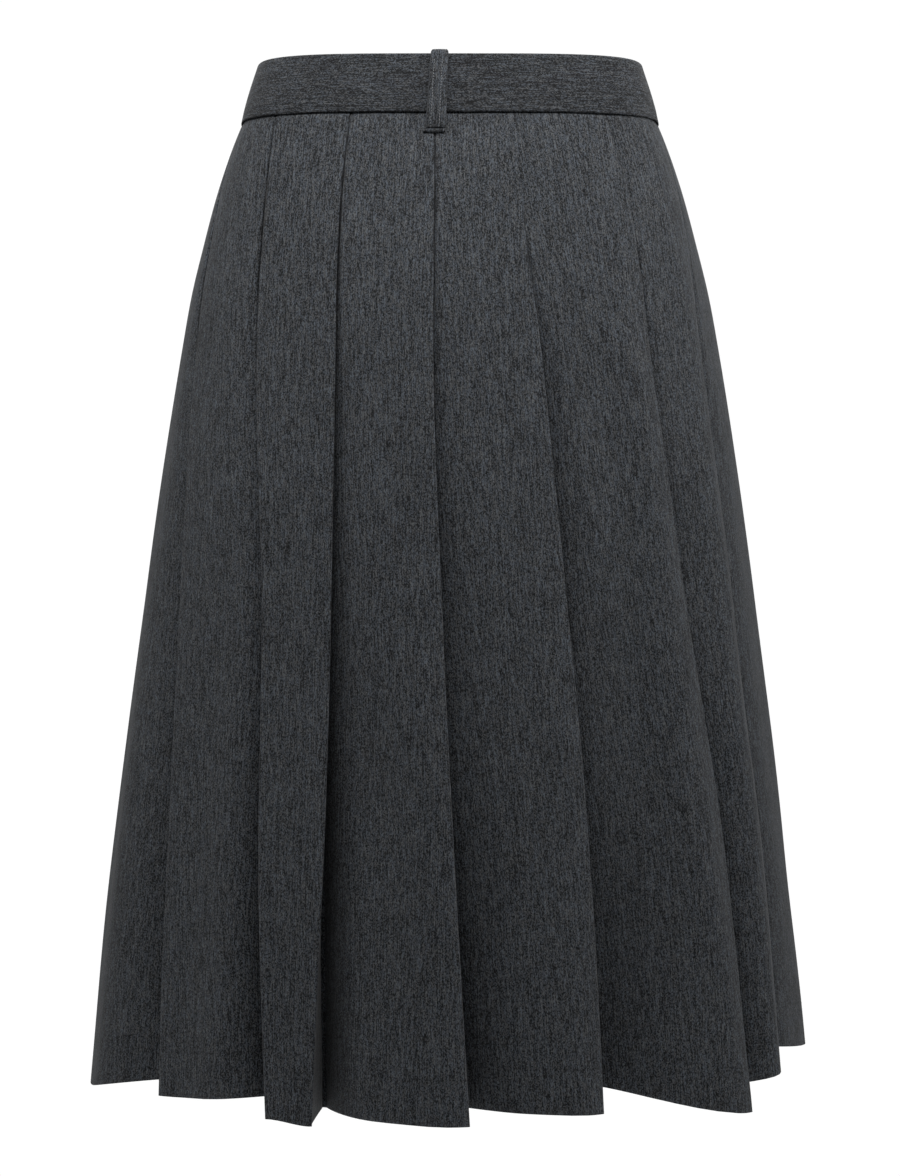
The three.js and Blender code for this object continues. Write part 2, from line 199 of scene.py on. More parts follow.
FOLDS = (
    Fold("front_4", Hand.LEFT, (-0.945, -0.945, -0.942, -0.94, -0.937, -0.935), 1, 0.9, -636, -643),
    Fold("front_3", Hand.LEFT, (-0.8, -0.798, -0.793, -0.787, -0.783, -0.78), 1, 1.1, -634, -641),
    Fold("front_2", Hand.LEFT, (-0.66, -0.655, -0.647, -0.637, -0.63, -0.625), 1, 0.85, -637, -644),
    Fold("side_left", Hand.LEFT, (-0.54, -0.527, -0.503, -0.485, -0.477, -0.47), 1, 0.9, -636, -643),
    Fold("back_left_2", Hand.LEFT, (-0.425, -0.391, -0.37, -0.337, -0.312, -0.296), 0.95, 1, -628, -637, 5.0),
    Fold("back_left_1", Hand.LEFT, (-0.287, -0.27, -0.25, -0.21, -0.19, -0.168), 0.8, 0.75, -632, -644, 2.1),
    Fold("back_right_1", Hand.RIGHT, (-0.162, -0.156, -0.143, -0.13, -0.123, -0.124), 0.8, 1, -641, -647, 0.8),
    Fold("back_right_2", Hand.RIGHT, (-0.026, -0.023, -0.021, -0.009, 0.004, 0.017), 1, 0.85, -637, -645, 0.3),
    Fold("back_right_3", Hand.RIGHT, (0.105, 0.101, 0.113, 0.127, 0.138, 0.144), 1, 0.9, -626, -641, 0, 0),
    Fold("back_right_4", Hand.RIGHT, (0.25, 0.262, 0.259, 0.273, 0.292, 0.292), 1, 1, -632, -646, 0, 0),
    Fold("back_right_5", Hand.RIGHT, (0.392, 0.383, 0.352, 0.353, 0.353, 0.35), 1, 1, -611, -624, 0, 0),
    Fold("side_right", Hand.RIGHT, (0.503, 0.5, 0.499, 0.5, 0.5, 0.5), 1, 0.9, -615, -619),
    Fold("front_right_2", Hand.RIGHT, (0.645, 0.646, 0.646, 0.646, 0.645, 0.645), 1, 1.1, -627, -634),
    Fold("front_right_3", Hand.RIGHT, (0.795, 0.795, 0.794, 0.792, 0.791, 0.79), 1, 0.95, -636, -640),
    Fold("front_right_4", Hand.RIGHT, (0.945, 0.945, 0.942, 0.94, 0.937, 0.935), 1, 0.9, -635, -644),
)

# Soft folds of the back as they hang, then similar ones for the sides and front
CREASES = (
    Crease("back_left_ridge", (-0.232, -200), (-0.215, -650), 13, 1.0, 26, 7.0),
    Crease("back_left_trough", (-0.268, -260), (-0.262, -650), 14, -1.0, 24, -5.0),
    Crease("centre_left_ridge", (-0.118, -390), (-0.075, -650), 14, 1.5, 24, 5.0),
    Crease("centre_edge_ridge", (-0.042, -160), (-0.006, -650), 14, 1.5, 20, 6.0),
    Crease("right_of_centre_ridge", (0.110, -400), (0.124, -650), 14, 3.0, 20, 0.6),
    Crease("centre_trough", (0.10, -430), (0.093, -650), 14, -0.6, 20, -4.5),
    Crease("hip_break_upper", (0.17, -55), (0.275, -190), 26, -0.6, 16, -1.8),
    Crease("hip_break_lower", (0.235, -150), (0.30, -260), 20, 1.4, 26, 0.6),
    Crease("right_trough", (0.187, -330), (0.173, -650), 21, -3.0, 32, -15.0),
    Crease("right_edge_ridge", (0.226, -130), (0.278, -650), 15, 4.6, 21, 12.0),
    Crease("hip_side_ridge", (0.335, -90), (0.328, -650), 14, 3.6, 17, 12.0),
    Crease("right_pressed_line", (0.372, -70), (0.372, -215), 3.0, 0.7, 3.0, 0.4),
    Crease("seam_tuck", (-0.148, 0), (-0.146, -16), 3.0, -0.5, 4.0, -0.1),
    Crease("left_side_ridge", (-0.40, -230), (-0.385, -650), 18, 1.0, 30, 6.0),
    Crease("right_side_trough", (0.43, -300), (0.44, -650), 18, -1.0, 26, -5.0),
    Crease("front_left_ridge", (-0.55, -260), (-0.545, -650), 16, 1.0, 28, 6.0),
    Crease("front_left_trough", (-0.70, -300), (-0.69, -650), 16, -1.0, 24, -5.0),
    Crease("front_left_fold", (-0.86, -340), (-0.85, -650), 16, 1.0, 26, 5.0),
    Crease("front_right_ridge", (0.59, -280), (0.585, -650), 16, 1.0, 26, 5.5),
    Crease("front_right_trough", (0.73, -300), (0.735, -650), 16, -1.0, 26, -5.5),
    Crease("front_right_fold", (0.875, -330), (0.87, -650), 16, 1.0, 24, 5.0),
)


# form


@dataclass(frozen=True)
class Profile:
    """A value that changes smoothly between known ones.

    Args:
        at: where the values are known, rising
        values: the known values
    """

    at: tuple[float, ...]
    values: tuple[float, ...]

    def __call__(self, x: np.ndarray | float) -> np.ndarray:
        """Work out the value.

        Args:
            x: where

        Returns:
            The value there, held beyond the ends.
        """
        xs, ys = np.asarray(self.at, float), np.asarray(self.values, float)
        step = np.diff(xs)
        chord = np.diff(ys) / step
        slope = np.empty_like(ys)
        slope[0], slope[-1] = chord[0], chord[-1]
        same = chord[:-1] * chord[1:] > 0
        total = np.where(same, chord[:-1] + chord[1:], 1.0)
        slope[1:-1] = np.where(same, 2 * chord[:-1] * chord[1:] / total, 0.0)
        x = np.clip(np.asarray(x, float), xs[0], xs[-1])
        i = np.clip(np.searchsorted(xs, x, side="right") - 1, 0, len(xs) - 2)
        t = (x - xs[i]) / step[i]
        return (
            (1 + 2 * t) * (1 - t) ** 2 * ys[i]
            + t * (1 - t) ** 2 * step[i] * slope[i]
            + t * t * (3 - 2 * t) * ys[i + 1]
            + t * t * (t - 1) * step[i] * slope[i + 1]
        )


def column(table: tuple, name: str) -> Profile:
    """Return a named column of a table of sizes as a profile over height."""
    return Profile(tuple(row.z for row in table), tuple(getattr(row, name) for row in table))


def opening(level: float) -> Opening:
    """Return the row of the table of openings for any level."""
    return Opening(level, *(float(column(OPENINGS, part.name)(level)) for part in fields(Opening)[1:]))


def smoothstep(t: np.ndarray | float) -> np.ndarray:
    """Return t eased from 0 to 1."""
    t = np.clip(t, 0.0, 1.0)
    return t * t * (3 - 2 * t)


def blend(first: np.ndarray | float, second: np.ndarray | float, t: np.ndarray | float) -> np.ndarray | float:
    """Return what lies the share t of the way from the first to the second."""
    return first + (second - first) * t


def wrapped(place: np.ndarray) -> np.ndarray:
    """Return places brought to between -1 and 1."""
    return (place + 1.0) % FULL_ROUND - 1.0


@dataclass
class FilledForm:
    """The body-like form that the skirt is filled out to.

    Args:
        sections: its levels
        levels: how many heights its grid has
        places: how many places its grid has from the centre back to the centre front
        round_steps: points of the curve along which those places are measured
    """

    sections: tuple[Section, ...] = SECTIONS
    levels: int = 150
    places: int = 721
    round_steps: int = 961
    _z: np.ndarray = field(init=False, repr=False)
    _grid: np.ndarray = field(init=False, repr=False)
    _length: np.ndarray = field(init=False, repr=False)

    def __post_init__(self) -> None:
        """Work out the points and normals on a grid of heights and places."""
        self._z = np.linspace(self.sections[0].z, self.sections[-1].z, self.levels)
        names = ("half_width", "half_depth", "square_back", "square_front")
        a, b, back, front = (column(self.sections, name)(self._z)[:, None] for name in names)
        w = np.linspace(0, 1, self.round_steps)
        eased = np.where(w < 0.5, 2 * w * w, 1 - 2 * (1 - w) ** 2)
        t = (np.pi * (0.5 * w + 0.5 * eased))[None, :]
        power = 2 / np.where(t < np.pi / 2, back, front)
        x = a * np.abs(np.sin(t)) ** power
        y = -b * np.sign(np.cos(t)) * np.abs(np.cos(t)) ** power
        run = np.cumsum(np.hypot(np.diff(x), np.diff(y)), axis=1)
        arc = np.concatenate([np.zeros((self.levels, 1)), run], axis=1)
        self._length = arc[:, -1]
        share = np.linspace(0, 1, self.places)
        self._grid = np.empty((self.levels, self.places, 4))
        for i in range(self.levels):
            for axis, line in enumerate((x, y)):
                self._grid[i, :, axis] = np.interp(share * arc[i, -1], arc[i], line[i])
        tx, ty = (np.gradient(self._grid[:, :, axis], axis=1) for axis in (0, 1))
        ty[:, 0] = ty[:, -1] = 0.0
        size = np.hypot(tx, ty)
        self._grid[:, :, 2], self._grid[:, :, 3] = ty / size, -tx / size

    def half_length(self, z: float) -> float:
        """Return the length of half the way round at a height."""
        return float(np.interp(z, self._z, self._length))

    def place(self, z: np.ndarray, place: np.ndarray, inward: np.ndarray | float) -> np.ndarray:
        """Find points of the form, moved inwards along its normal.

        Args:
            z: their heights
            place: their places round the form
            inward: how far they lie inside it

        Returns:
            The points.
        """
        z, place = np.broadcast_arrays(np.asarray(z, float), np.asarray(place, float))
        place = wrapped(place)
        hand = np.where(place < 0, -1.0, 1.0)
        fi = np.clip((z - self._z[0]) / (self._z[1] - self._z[0]), 0, self.levels - 1.001)
        fj = np.clip(np.abs(place) * (self.places - 1), 0, self.places - 1.001)
        i, j = fi.astype(int), fj.astype(int)
        u, v = (fi - i)[..., None], (fj - j)[..., None]
        low, high = (blend(self._grid[k, j], self._grid[k, j + 1], v) for k in (i, i + 1))
        q = blend(low, high, u)
        x = hand * (q[..., 0] - q[..., 2] * inward)
        y = q[..., 1] - q[..., 3] * inward
        return np.stack([x, y, z], axis=-1)


@dataclass
class SoftForms:
    """The uneven hang of the cloth: soft creases set one by one and a slight waviness.

    Args:
        creases: the ridges and troughs
        fades_in: lead above a crease's upper end and the run it fades in over, in shares of its height
        fades_out: where below that end it has faded out and the run it fades over, in the same shares
        at_band: a crease that starts above this height doesn't fade in
        waves: how many waves the waviness is made of
        turns: least and greatest number of its half waves round
        lengths: least and greatest length of its waves down
        lean: how far those lengths differ
        wave_height: its height near the hem
        wave_at_band: share of that height at the band
        calm_over: length below the band over which it grows
        seed: the fixed seed of the waves
    """

    creases: tuple[Crease, ...] = CREASES
    fades_in: tuple[float, float] = (0.28, 0.4)
    fades_out: tuple[float, float] = (1.3, 0.35)
    at_band: float = -20.0
    waves: int = 22
    turns: tuple[int, int] = (5, 24)
    lengths: tuple[float, float] = (160, 620)
    lean: float = 0.6
    wave_height: float = 0.85
    wave_at_band: float = 0.22
    calm_over: float = 420.0
    seed: int = 751

    def outward(self, place: np.ndarray, z: np.ndarray, half_length: float) -> np.ndarray:
        """Work out how far the cloth stands out at points of one level.

        Args:
            place: their places
            z: their heights
            half_length: half the way round at this level

        Returns:
            Distances, positive outwards.
        """
        place = wrapped(place)
        out = np.zeros_like(place)
        for crease in self.creases:
            (p0, z0), (p1, z1) = crease.start, crease.end
            t = (z0 - z) / (z0 - z1)
            along = np.clip(t, 0, 1)
            width = blend(crease.width, crease.end_width, along)
            height = blend(crease.height, crease.end_height, along)
            away = (place - blend(p0, p1, along)) * half_length
            fade = smoothstep((self.fades_out[0] - t) / self.fades_out[1])
            if z0 <= self.at_band:
                fade = fade * smoothstep((t + self.fades_in[0]) / self.fades_in[1])
            out += height * fade * np.exp(-((away / width) ** 2))
        rng = np.random.default_rng(self.seed)
        rough = np.zeros_like(place)
        for _ in range(self.waves):
            turns = rng.integers(*self.turns)
            tall = rng.uniform(*self.lengths)
            phase = rng.uniform(0, 2 * np.pi)
            down = 2 * np.pi * z / tall * (1 + rng.uniform(-self.lean, self.lean))
            rough += np.sin(np.pi * turns * place + down + phase) / math.sqrt(turns / self.turns[0])
        height = self.wave_height * (self.wave_at_band + smoothstep(-z / self.calm_over))
        return out + rough / math.sqrt(self.waves) * height


# meshes


def mesh_object(name: str, points: np.ndarray, faces: np.ndarray | list) -> bpy.types.Object:
    """Make an object at the origin.

    Args:
        name: its name
        points: its vertices
        faces: its faces as vertex numbers

    Returns:
        The new object, shaded smooth.
    """
    mesh = bpy.data.meshes.new(name)
    polygons = faces.tolist() if isinstance(faces, np.ndarray) else faces
    mesh.from_pydata((np.asarray(points).reshape(-1, 3) * MM).tolist(), [], polygons)
    mesh.polygons.foreach_set("use_smooth", [True] * len(mesh.polygons))
    mesh.update()
    obj = bpy.data.objects.new(name, mesh)
    bpy.context.scene.collection.objects.link(obj)
    return obj


def dress(piece: bpy.types.Object, finish: bpy.types.Material | None = None) -> None:
    """Put a piece on the skirt's one body.

    Args:
        piece: the piece
        finish: its material, where it has none yet
    """
    if finish:
        piece.data.materials.append(finish)
    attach(piece, ROOT)


def lengths(line: np.ndarray, axis: int = 0) -> np.ndarray:
    """Return the length of each step between the points of a line or of a grid's lines."""
    return np.linalg.norm(np.diff(line, axis=axis), axis=-1)


def row_normals(rows: np.ndarray) -> np.ndarray:
    """Find the level sideways direction at each point of each row.

    Args:
        rows: rows of points

    Returns:
        The directions, lengthened at sharp bends so that the wall keeps its thickness.
    """
    step = np.diff(rows[..., :2], axis=1)
    coming = np.concatenate([step[:, :1], step], axis=1)
    going = np.concatenate([step, step[:, -1:]], axis=1)
    coming /= np.maximum(np.linalg.norm(coming, axis=-1, keepdims=True), 1e-9)
    going /= np.maximum(np.linalg.norm(going, axis=-1, keepdims=True), 1e-9)
    mean = coming + going
    mean /= np.maximum(np.linalg.norm(mean, axis=-1, keepdims=True), 1e-9)
    mitre = np.minimum(1 / np.maximum((mean * going).sum(-1), 0.1), 1.3)
    return np.stack([mean[..., 1] * mitre, -mean[..., 0] * mitre, np.zeros_like(mitre)], axis=-1)


@dataclass
class Shell:
    """A thin closed wall round a grid of middle points, with the cloth's own coordinates.

    Args:
        name: the piece's name
        middle: rows of points, top row first, columns towards +X at the back
        normals: the sideways direction at each point
        wall: its thickness
        along: cloth coordinate along a row, at both ends of the span that starts at each point
        down: cloth coordinate down a column
        hem: distance above the hem edge
        shade: painted shade at each point, 0 to 1, stronger deeper in a fold or slit
        closed: whether the last column joins the first
        edge_run: length of cloth laid along each side edge
    """

    name: str
    middle: np.ndarray
    normals: np.ndarray
    wall: float
    along: tuple[np.ndarray, np.ndarray]
    down: np.ndarray
    hem: np.ndarray | float = 60.0
    shade: np.ndarray | float = 0.0
    closed: bool = False
    edge_run: float = 600.0

    def build(self) -> bpy.types.Object:
        """Make the wall with its map, its hem distances and its painted shades.

        Returns:
            The wall.
        """
        rows, cols = self.middle.shape[:2]
        offset = rows * cols
        number = np.arange(offset).reshape(rows, cols)
        spans = cols if self.closed else cols - 1
        left, right = number[:, :spans], np.roll(number, -1, axis=1)[:, :spans]
        a, b, c, d = left[:-1], left[1:], right[1:], right[:-1]
        parts = [
            np.stack([a, b, c, d], axis=-1).reshape(-1, 4),
            np.stack([a, d, c, b], axis=-1).reshape(-1, 4) + offset,
            np.stack([left[0], right[0], right[0] + offset, left[0] + offset], axis=-1),
            np.stack([left[-1], left[-1] + offset, right[-1] + offset, right[-1]], axis=-1),
        ]
        sides = []
        if not self.closed:
            s, e = number[:, 0], number[:, -1]
            sides.append(np.stack([s[:-1], s[:-1] + offset, s[1:] + offset, s[1:]], axis=-1))
            sides.append(np.stack([e[:-1], e[1:], e[1:] + offset, e[:-1] + offset], axis=-1))
        half = self.normals * self.wall / 2
        points = np.concatenate([(self.middle + half).reshape(-1, 3), (self.middle - half).reshape(-1, 3)])
        obj = mesh_object(self.name, points, np.concatenate(parts + sides))
        self._map(obj, spans, [len(side) for side in sides])
        # The second layer holds painted shade for folds and slits, which the cloth's material darkens by
        for label, values in (("hem_height", self.hem * MM), ("painted_fold_shade", self.shade)):
            layer = obj.data.attributes.new(label, "FLOAT", "POINT")
            each = np.broadcast_to(values, (rows, cols)).reshape(-1)
            layer.data.foreach_set("value", np.tile(each, 2).astype(np.float32))
        return obj

    def _map(self, obj: bpy.types.Object, spans: int, sides: list[int]) -> None:
        """Lay the cloth's own coordinates on the faces, in metres.

        Args:
            obj: the wall
            spans: how many faces it has along a row
            sides: how many faces each of its side edges has
        """
        start, end = (u[:, :spans] for u in self.along)
        near, far = self.down[:, :spans], np.roll(self.down, -1, axis=1)[:, :spans]
        u = np.stack([start[:-1], start[1:], end[1:], end[:-1]], axis=-1).reshape(-1, 4)
        v = np.stack([near[:-1], near[1:], far[1:], far[:-1]], axis=-1).reshape(-1, 4)
        turned = [0, 3, 2, 1]
        us, vs = [u, u[:, turned]], [v, v[:, turned]]
        us.append(np.stack([start[0], end[0], end[0], start[0]], axis=-1))
        vs.append(np.stack([near[0], far[0], far[0], near[0]], axis=-1))
        us.append(np.stack([start[-1], start[-1], end[-1], end[-1]], axis=-1))
        vs.append(np.stack([near[-1], near[-1], far[-1], far[-1]], axis=-1))
        for count in sides:
            us.append(np.zeros((count, 4)))
            vs.append(np.tile(np.linspace(0, self.edge_run, count)[:, None], (1, 4)))
        uv = np.stack([np.concatenate(us), np.concatenate(vs)], axis=-1).reshape(-1, 2) * MM
        layer = obj.data.uv_layers.new(name="cloth")
        layer.data.foreach_set("uv", uv.astype(np.float32).reshape(-1))


# nodes


def operator(operation: str, swapped: bool = False) -> Callable[["Sock", object], "Sock"]:
    """Make a method that adds one Math node.

    Args:
        operation: the node's operation
        swapped: whether its values change places, for a reflected form

    Returns:
        The method.
    """

    def method(self: "Sock", other: object) -> "Sock":
        """Return the result."""
        first, second = (other, self) if swapped else (self, other)
        return self.kit.node("ShaderNodeMath", {"operation": operation}, {0: first, 1: second})

    return method


class Sock:
    """An output of a node that takes part in Python arithmetic."""

    __add__, __radd__ = operator("ADD"), operator("ADD", True)
    __sub__, __rsub__ = operator("SUBTRACT"), operator("SUBTRACT", True)
    __mul__, __rmul__ = operator("MULTIPLY"), operator("MULTIPLY", True)
    __truediv__, __rtruediv__ = operator("DIVIDE"), operator("DIVIDE", True)

    def __init__(self, kit: "NodeKit", node: bpy.types.Node, output: str | int) -> None:
        self.kit = kit
        self.node = node
        self.output = output

    def out(self, output: str) -> "Sock":
        """Return another output of the same node."""
        return Sock(self.kit, self.node, output)

    def floor(self) -> "Sock":
        """Return the whole number below."""
        return self.kit.node("ShaderNodeMath", {"operation": "FLOOR"}, {0: self})

    def clamp(self) -> "Sock":
        """Return the value held between 0 and 1."""
        return self.kit.node("ShaderNodeClamp", {}, {"Value": self})

    def step(self, low: float, high: float) -> "Sock":
        """Return 0 below low, 1 above high and a smooth change between."""
        limits = {"Value": self, "From Min": low, "From Max": high}
        return self.kit.node("ShaderNodeMapRange", {"interpolation_type": "SMOOTHSTEP"}, limits)


class NodeKit:
    """A node tree under construction."""

    def __init__(self, tree: bpy.types.NodeTree) -> None:
        """Start on a tree."""
        self.tree = tree

    def node(self, kind: str, settings: dict, inputs: dict, output: str | int = 0) -> Sock:
        """Add a node.

        Args:
            kind: the node's type
            settings: its properties, set first
            inputs: values or links by socket name or number
            output: which output is returned

        Returns:
            The wrapped output.
        """
        node = self.tree.nodes.new(kind)
        for key, value in settings.items():
            setattr(node, key, value)
        for key, value in inputs.items():
            if isinstance(value, Sock):
                self.tree.links.new(value.node.outputs[value.output], node.inputs[key])
            else:
                node.inputs[key].default_value = value
        return Sock(self, node, output)


class ShaderKit(NodeKit):
    """A material under construction."""

    def __init__(self, name: str) -> None:
        """Start an empty material of this name."""
        self.material = bpy.data.materials.new(name)
        self.material.use_nodes = True
        super().__init__(self.material.node_tree)
        self.tree.nodes.clear()

    def mix(self, factor: Sock, first: tuple | Sock, second: tuple | Sock) -> Sock:
        """Return a colour between two, by a factor."""
        colours = (value if isinstance(value, Sock) else (*value, 1.0) for value in (first, second))
        settings = {"data_type": "RGBA", "clamp_factor": True}
        return self.node("ShaderNodeMix", settings, {0: factor, **dict(zip((6, 7), colours))}, 2)

    def attribute(self, name: str) -> Sock:
        """Return a value that the mesh carries at each point."""
        return self.node("ShaderNodeAttribute", {"attribute_name": name}, {}, "Fac")

    def bump(self, height: Sock, strength: float, distance: float) -> Sock:
        """Return a normal bent by a height, with its strength and its distance in metres."""
        return self.node("ShaderNodeBump", {}, {"Strength": strength, "Distance": distance, "Height": height})

    def noise(self, vector: Sock, size: tuple[float, float, float], detail: float = 2.0) -> Sock:
        """Return noise whose grain has the given size in metres along each coordinate."""
        scale = tuple(1 / s for s in size)
        scaled = self.node("ShaderNodeVectorMath", {"operation": "MULTIPLY"}, {0: vector, 1: scale})
        return self.node("ShaderNodeTexNoise", {}, {"Vector": scaled, "Scale": 1.0, "Detail": detail})

    def white_noise(self, dimensions: str, at: dict[str, Sock]) -> Sock:
        """Return a random value, 0 to 1, in the named dimensions."""
        return self.node("ShaderNodeTexWhiteNoise", {"noise_dimensions": dimensions}, at, "Value")

    def yarns(self, across: Sock, along: Sock, size: tuple[float, float], seed: float) -> Sock:
        """Make a random value for each float of yarn.

        Args:
            across: coordinate across the yarns, in metres
            along: coordinate along them
            size: width of a yarn and length of a float, in metres
            seed: number of the pattern

        Returns:
            The value, 0 to 1.
        """
        most_shift = 9.7  # floats by which one yarn's run may lie beyond the next one's
        yarn = (across / size[0]).floor()
        shift = self.white_noise("1D", {"W": yarn + seed})
        step = (along / size[1] + shift * most_shift).floor()
        cell = self.node("ShaderNodeCombineXYZ", {}, {"X": yarn, "Y": step, "Z": seed})
        return self.white_noise("3D", {"Vector": cell})

    def surface(self, **values: object) -> bpy.types.Material:
        """Finish the material with one shader.

        Args:
            **values: values or links of its sockets, with underscores for spaces

        Returns:
            The material.
        """
        inputs = {key.replace("_", " "): value for key, value in values.items()}
        shader = self.node("ShaderNodeBsdfPrincipled", {}, inputs)
        self.node("ShaderNodeOutputMaterial", {}, {"Surface": shader})
        return self.material


# finishes


@dataclass(frozen=True)
class MelangeTwill:
    """Charcoal wool-look twill of mixed light and dark fibres. Its sizes are in metres.

    Args:
        name: the material's name
        mean: share of light fibre, 0 to 1
        grain: the way the threads run
        hem_line: height of the hem's sewing line above the edge, 0 for none
        dark: colour of the dark fibres
        cool: colour of the cool light fibres
        warm: colour of the warm light fibres
        yarn: width of one yarn
        slub: length over which a yarn keeps its mix
        cloud: grain of the slow change of the mix, across and along
        hue_run: width and length of a run of one hue, in yarns
        float_run: length of a float, in yarns
        fibre: width of a fibre, in yarns
        by_float: how far the mix changes from one float to the next
        by_slub: how far it changes from one slub to the next
        by_fibre: how far it changes from one fibre to the next
        by_cloud: how far it changes slowly
        line_width: width of the sewing line's dent
        edge_band: heights between which the light hem edge ends
        dent_shade: share of light fibre that the line hides
        edge_light: share that the hem edge shows more
        painted_shade_strength: share that the depth of a fold hides
    """

    name: str
    mean: float = 0.31
    grain: Grain = Grain.DOWN
    hem_line: float = 0.0
    dark: tuple[float, float, float] = (0.0028, 0.0030, 0.0036)
    cool: tuple[float, float, float] = (0.0865, 0.0995, 0.1180)
    warm: tuple[float, float, float] = (0.0990, 0.1035, 0.1090)
    yarn: float = 0.0005
    slub: float = 0.0085
    cloud: tuple[float, float] = (0.045, 0.12)
    hue_run: tuple[float, float] = (1.6, 5.0)
    float_run: float = 1.6
    fibre: float = 0.6
    by_float: float = 0.76
    by_slub: float = 0.456
    by_fibre: float = 0.38
    by_cloud: float = 0.05
    # line_width: width of the sewing line's painted shade
    line_width: float = 0.0012
    edge_band: tuple[float, float] = (0.0004, 0.0016)
    # dent_shade: share of light fibre taken away along the sewing line, painted shade of its dent
    dent_shade: float = 0.10
    edge_light: float = 0.05
    # painted_shade_strength: share of light fibre taken away by the painted shade in folds and slits
    painted_shade_strength: float = 0.5

    def build(self) -> bpy.types.Material:
        """Make the material.

        Returns:
            The material.
        """
        kit = ShaderKit(self.name)
        cloth = kit.node("ShaderNodeUVMap", {"uv_map": "cloth"}, {})
        parted = kit.node("ShaderNodeSeparateXYZ", {}, {"Vector": cloth})
        across, along = parted.out("X"), parted.out("Y")
        if self.grain is Grain.ROUND:
            across, along = along, across
        yarn = self.yarn
        floats = kit.yarns(across, along, (yarn, yarn * self.float_run), 3.0)
        slub = kit.yarns(across, along, (yarn, self.slub), 17.0)
        hue = kit.yarns(across, along, tuple(yarn * run for run in self.hue_run), 31.0)
        fibre = kit.noise(cloth, (yarn * self.fibre, yarn * self.fibre, 1.0), 1.0)
        cloud = kit.noise(cloth, (*self.cloud, 1.0))
        tone = (floats - 0.5) * self.by_float + (slub - 0.5) * self.by_slub
        tone = tone + (fibre - 0.5) * self.by_fibre + (cloud - 0.5) * self.by_cloud
        share = (tone + self.mean).clamp()
        if self.hem_line:
            above = kit.attribute("hem_height")
            # Painted shade: a dark line along the hem's sewing line stands in for the shade of its dent
            sunk = above.step(self.hem_line - self.line_width, self.hem_line)
            line = sunk * (1 - above.step(self.hem_line, self.hem_line + self.line_width))
            edge = 1 - above.step(*self.edge_band)
            share = share - line * self.dent_shade + edge * self.edge_light
            # Painted shade: the cloth darkens deep in its folds and in the slits under pleat edges
            share = (share - kit.attribute("painted_fold_shade") * self.painted_shade_strength).clamp()
        colour = kit.mix(share, self.dark, kit.mix(hue.step(0.3, 0.7), self.cool, self.warm))
        height = floats * 0.35 + slub * 0.25 + fibre * 0.4
        return kit.surface(
            Base_Color=colour,
            Normal=kit.bump(height, 0.35, 0.0002),
            Roughness=0.85,
            Sheen_Weight=0.06,
            Sheen_Roughness=0.5,
            Specular_IOR_Level=0.2,
        )


@dataclass(frozen=True)
class SewingThread:
    """Spun sewing thread.

    Args:
        name: the material's name
        colour: its colour
        ply: size of its plies in metres
        between: how bright it is between them, as painted shade in the grooves between the plies
    """

    name: str
    colour: tuple[float, float, float]
    ply: float = 0.0004
    between: float = 0.6

    def build(self) -> bpy.types.Material:
        """Make the material, with the lay of the plies across it.

        Returns:
            The material.
        """
        kit = ShaderKit(self.name)
        here = kit.node("ShaderNodeTexCoord", {}, {}, "Object")
        ply = kit.noise(here, (self.ply,) * 3, 1.0)
        # Painted shade: the thread is darker between its plies
        dark = tuple(v * self.between for v in self.colour)
        colour = kit.mix(ply.step(0.35, 0.65), dark, self.colour)
        return kit.surface(
            Base_Color=colour, Normal=kit.bump(ply, 0.4, 0.0001), Roughness=0.6, Sheen_Weight=0.15
        )


@dataclass(frozen=True)
class StudioPaper:
    """Seamless pale paper that melts into the white air.

    Args:
        name: the material's name
        glow: light that the paper gives of itself, so that it stays white
        melts: distances from the origin between which it fades away, in metres
        tones: its darker and its lighter tone
        grain: size of the change between them in metres
    """

    name: str
    glow: float
    melts: tuple[float, float]
    tones: tuple[float, float] = (0.86, 0.9)
    grain: float = 0.02

    def build(self) -> bpy.types.Material:
        """Make the material.

        Returns:
            The material.
        """
        kit = ShaderKit(self.name)
        here = kit.node("ShaderNodeTexCoord", {}, {}, "Object")
        fibre = kit.noise(here, (self.grain,) * 3)
        away = kit.node("ShaderNodeVectorMath", {"operation": "LENGTH"}, {0: here}, "Value")
        return kit.surface(
            Base_Color=kit.mix(fibre, *((tone,) * 3 for tone in self.tones)),
            Roughness=0.9,
            Alpha=1 - away.step(*self.melts),
            Emission_Color=(1.0, 1.0, 1.0, 1.0),
            Emission_Strength=self.glow,
        )


SKIRT_TWILL = MelangeTwill("charcoal_twill", hem_line=0.0285)
# The band and the loops are the skirt's twill with a lower share of light fibre, so they come out darker
BAND_TWILL = MelangeTwill("charcoal_twill_round", mean=0.17, grain=Grain.ROUND)
LOOP_TWILL = MelangeTwill("charcoal_twill_loop", mean=0.27)
TOP_THREAD = SewingThread("grey_topstitch_thread", (0.14, 0.147, 0.155))
HEM_THREAD = SewingThread("charcoal_hem_thread", (0.014, 0.0145, 0.016))


# stitches


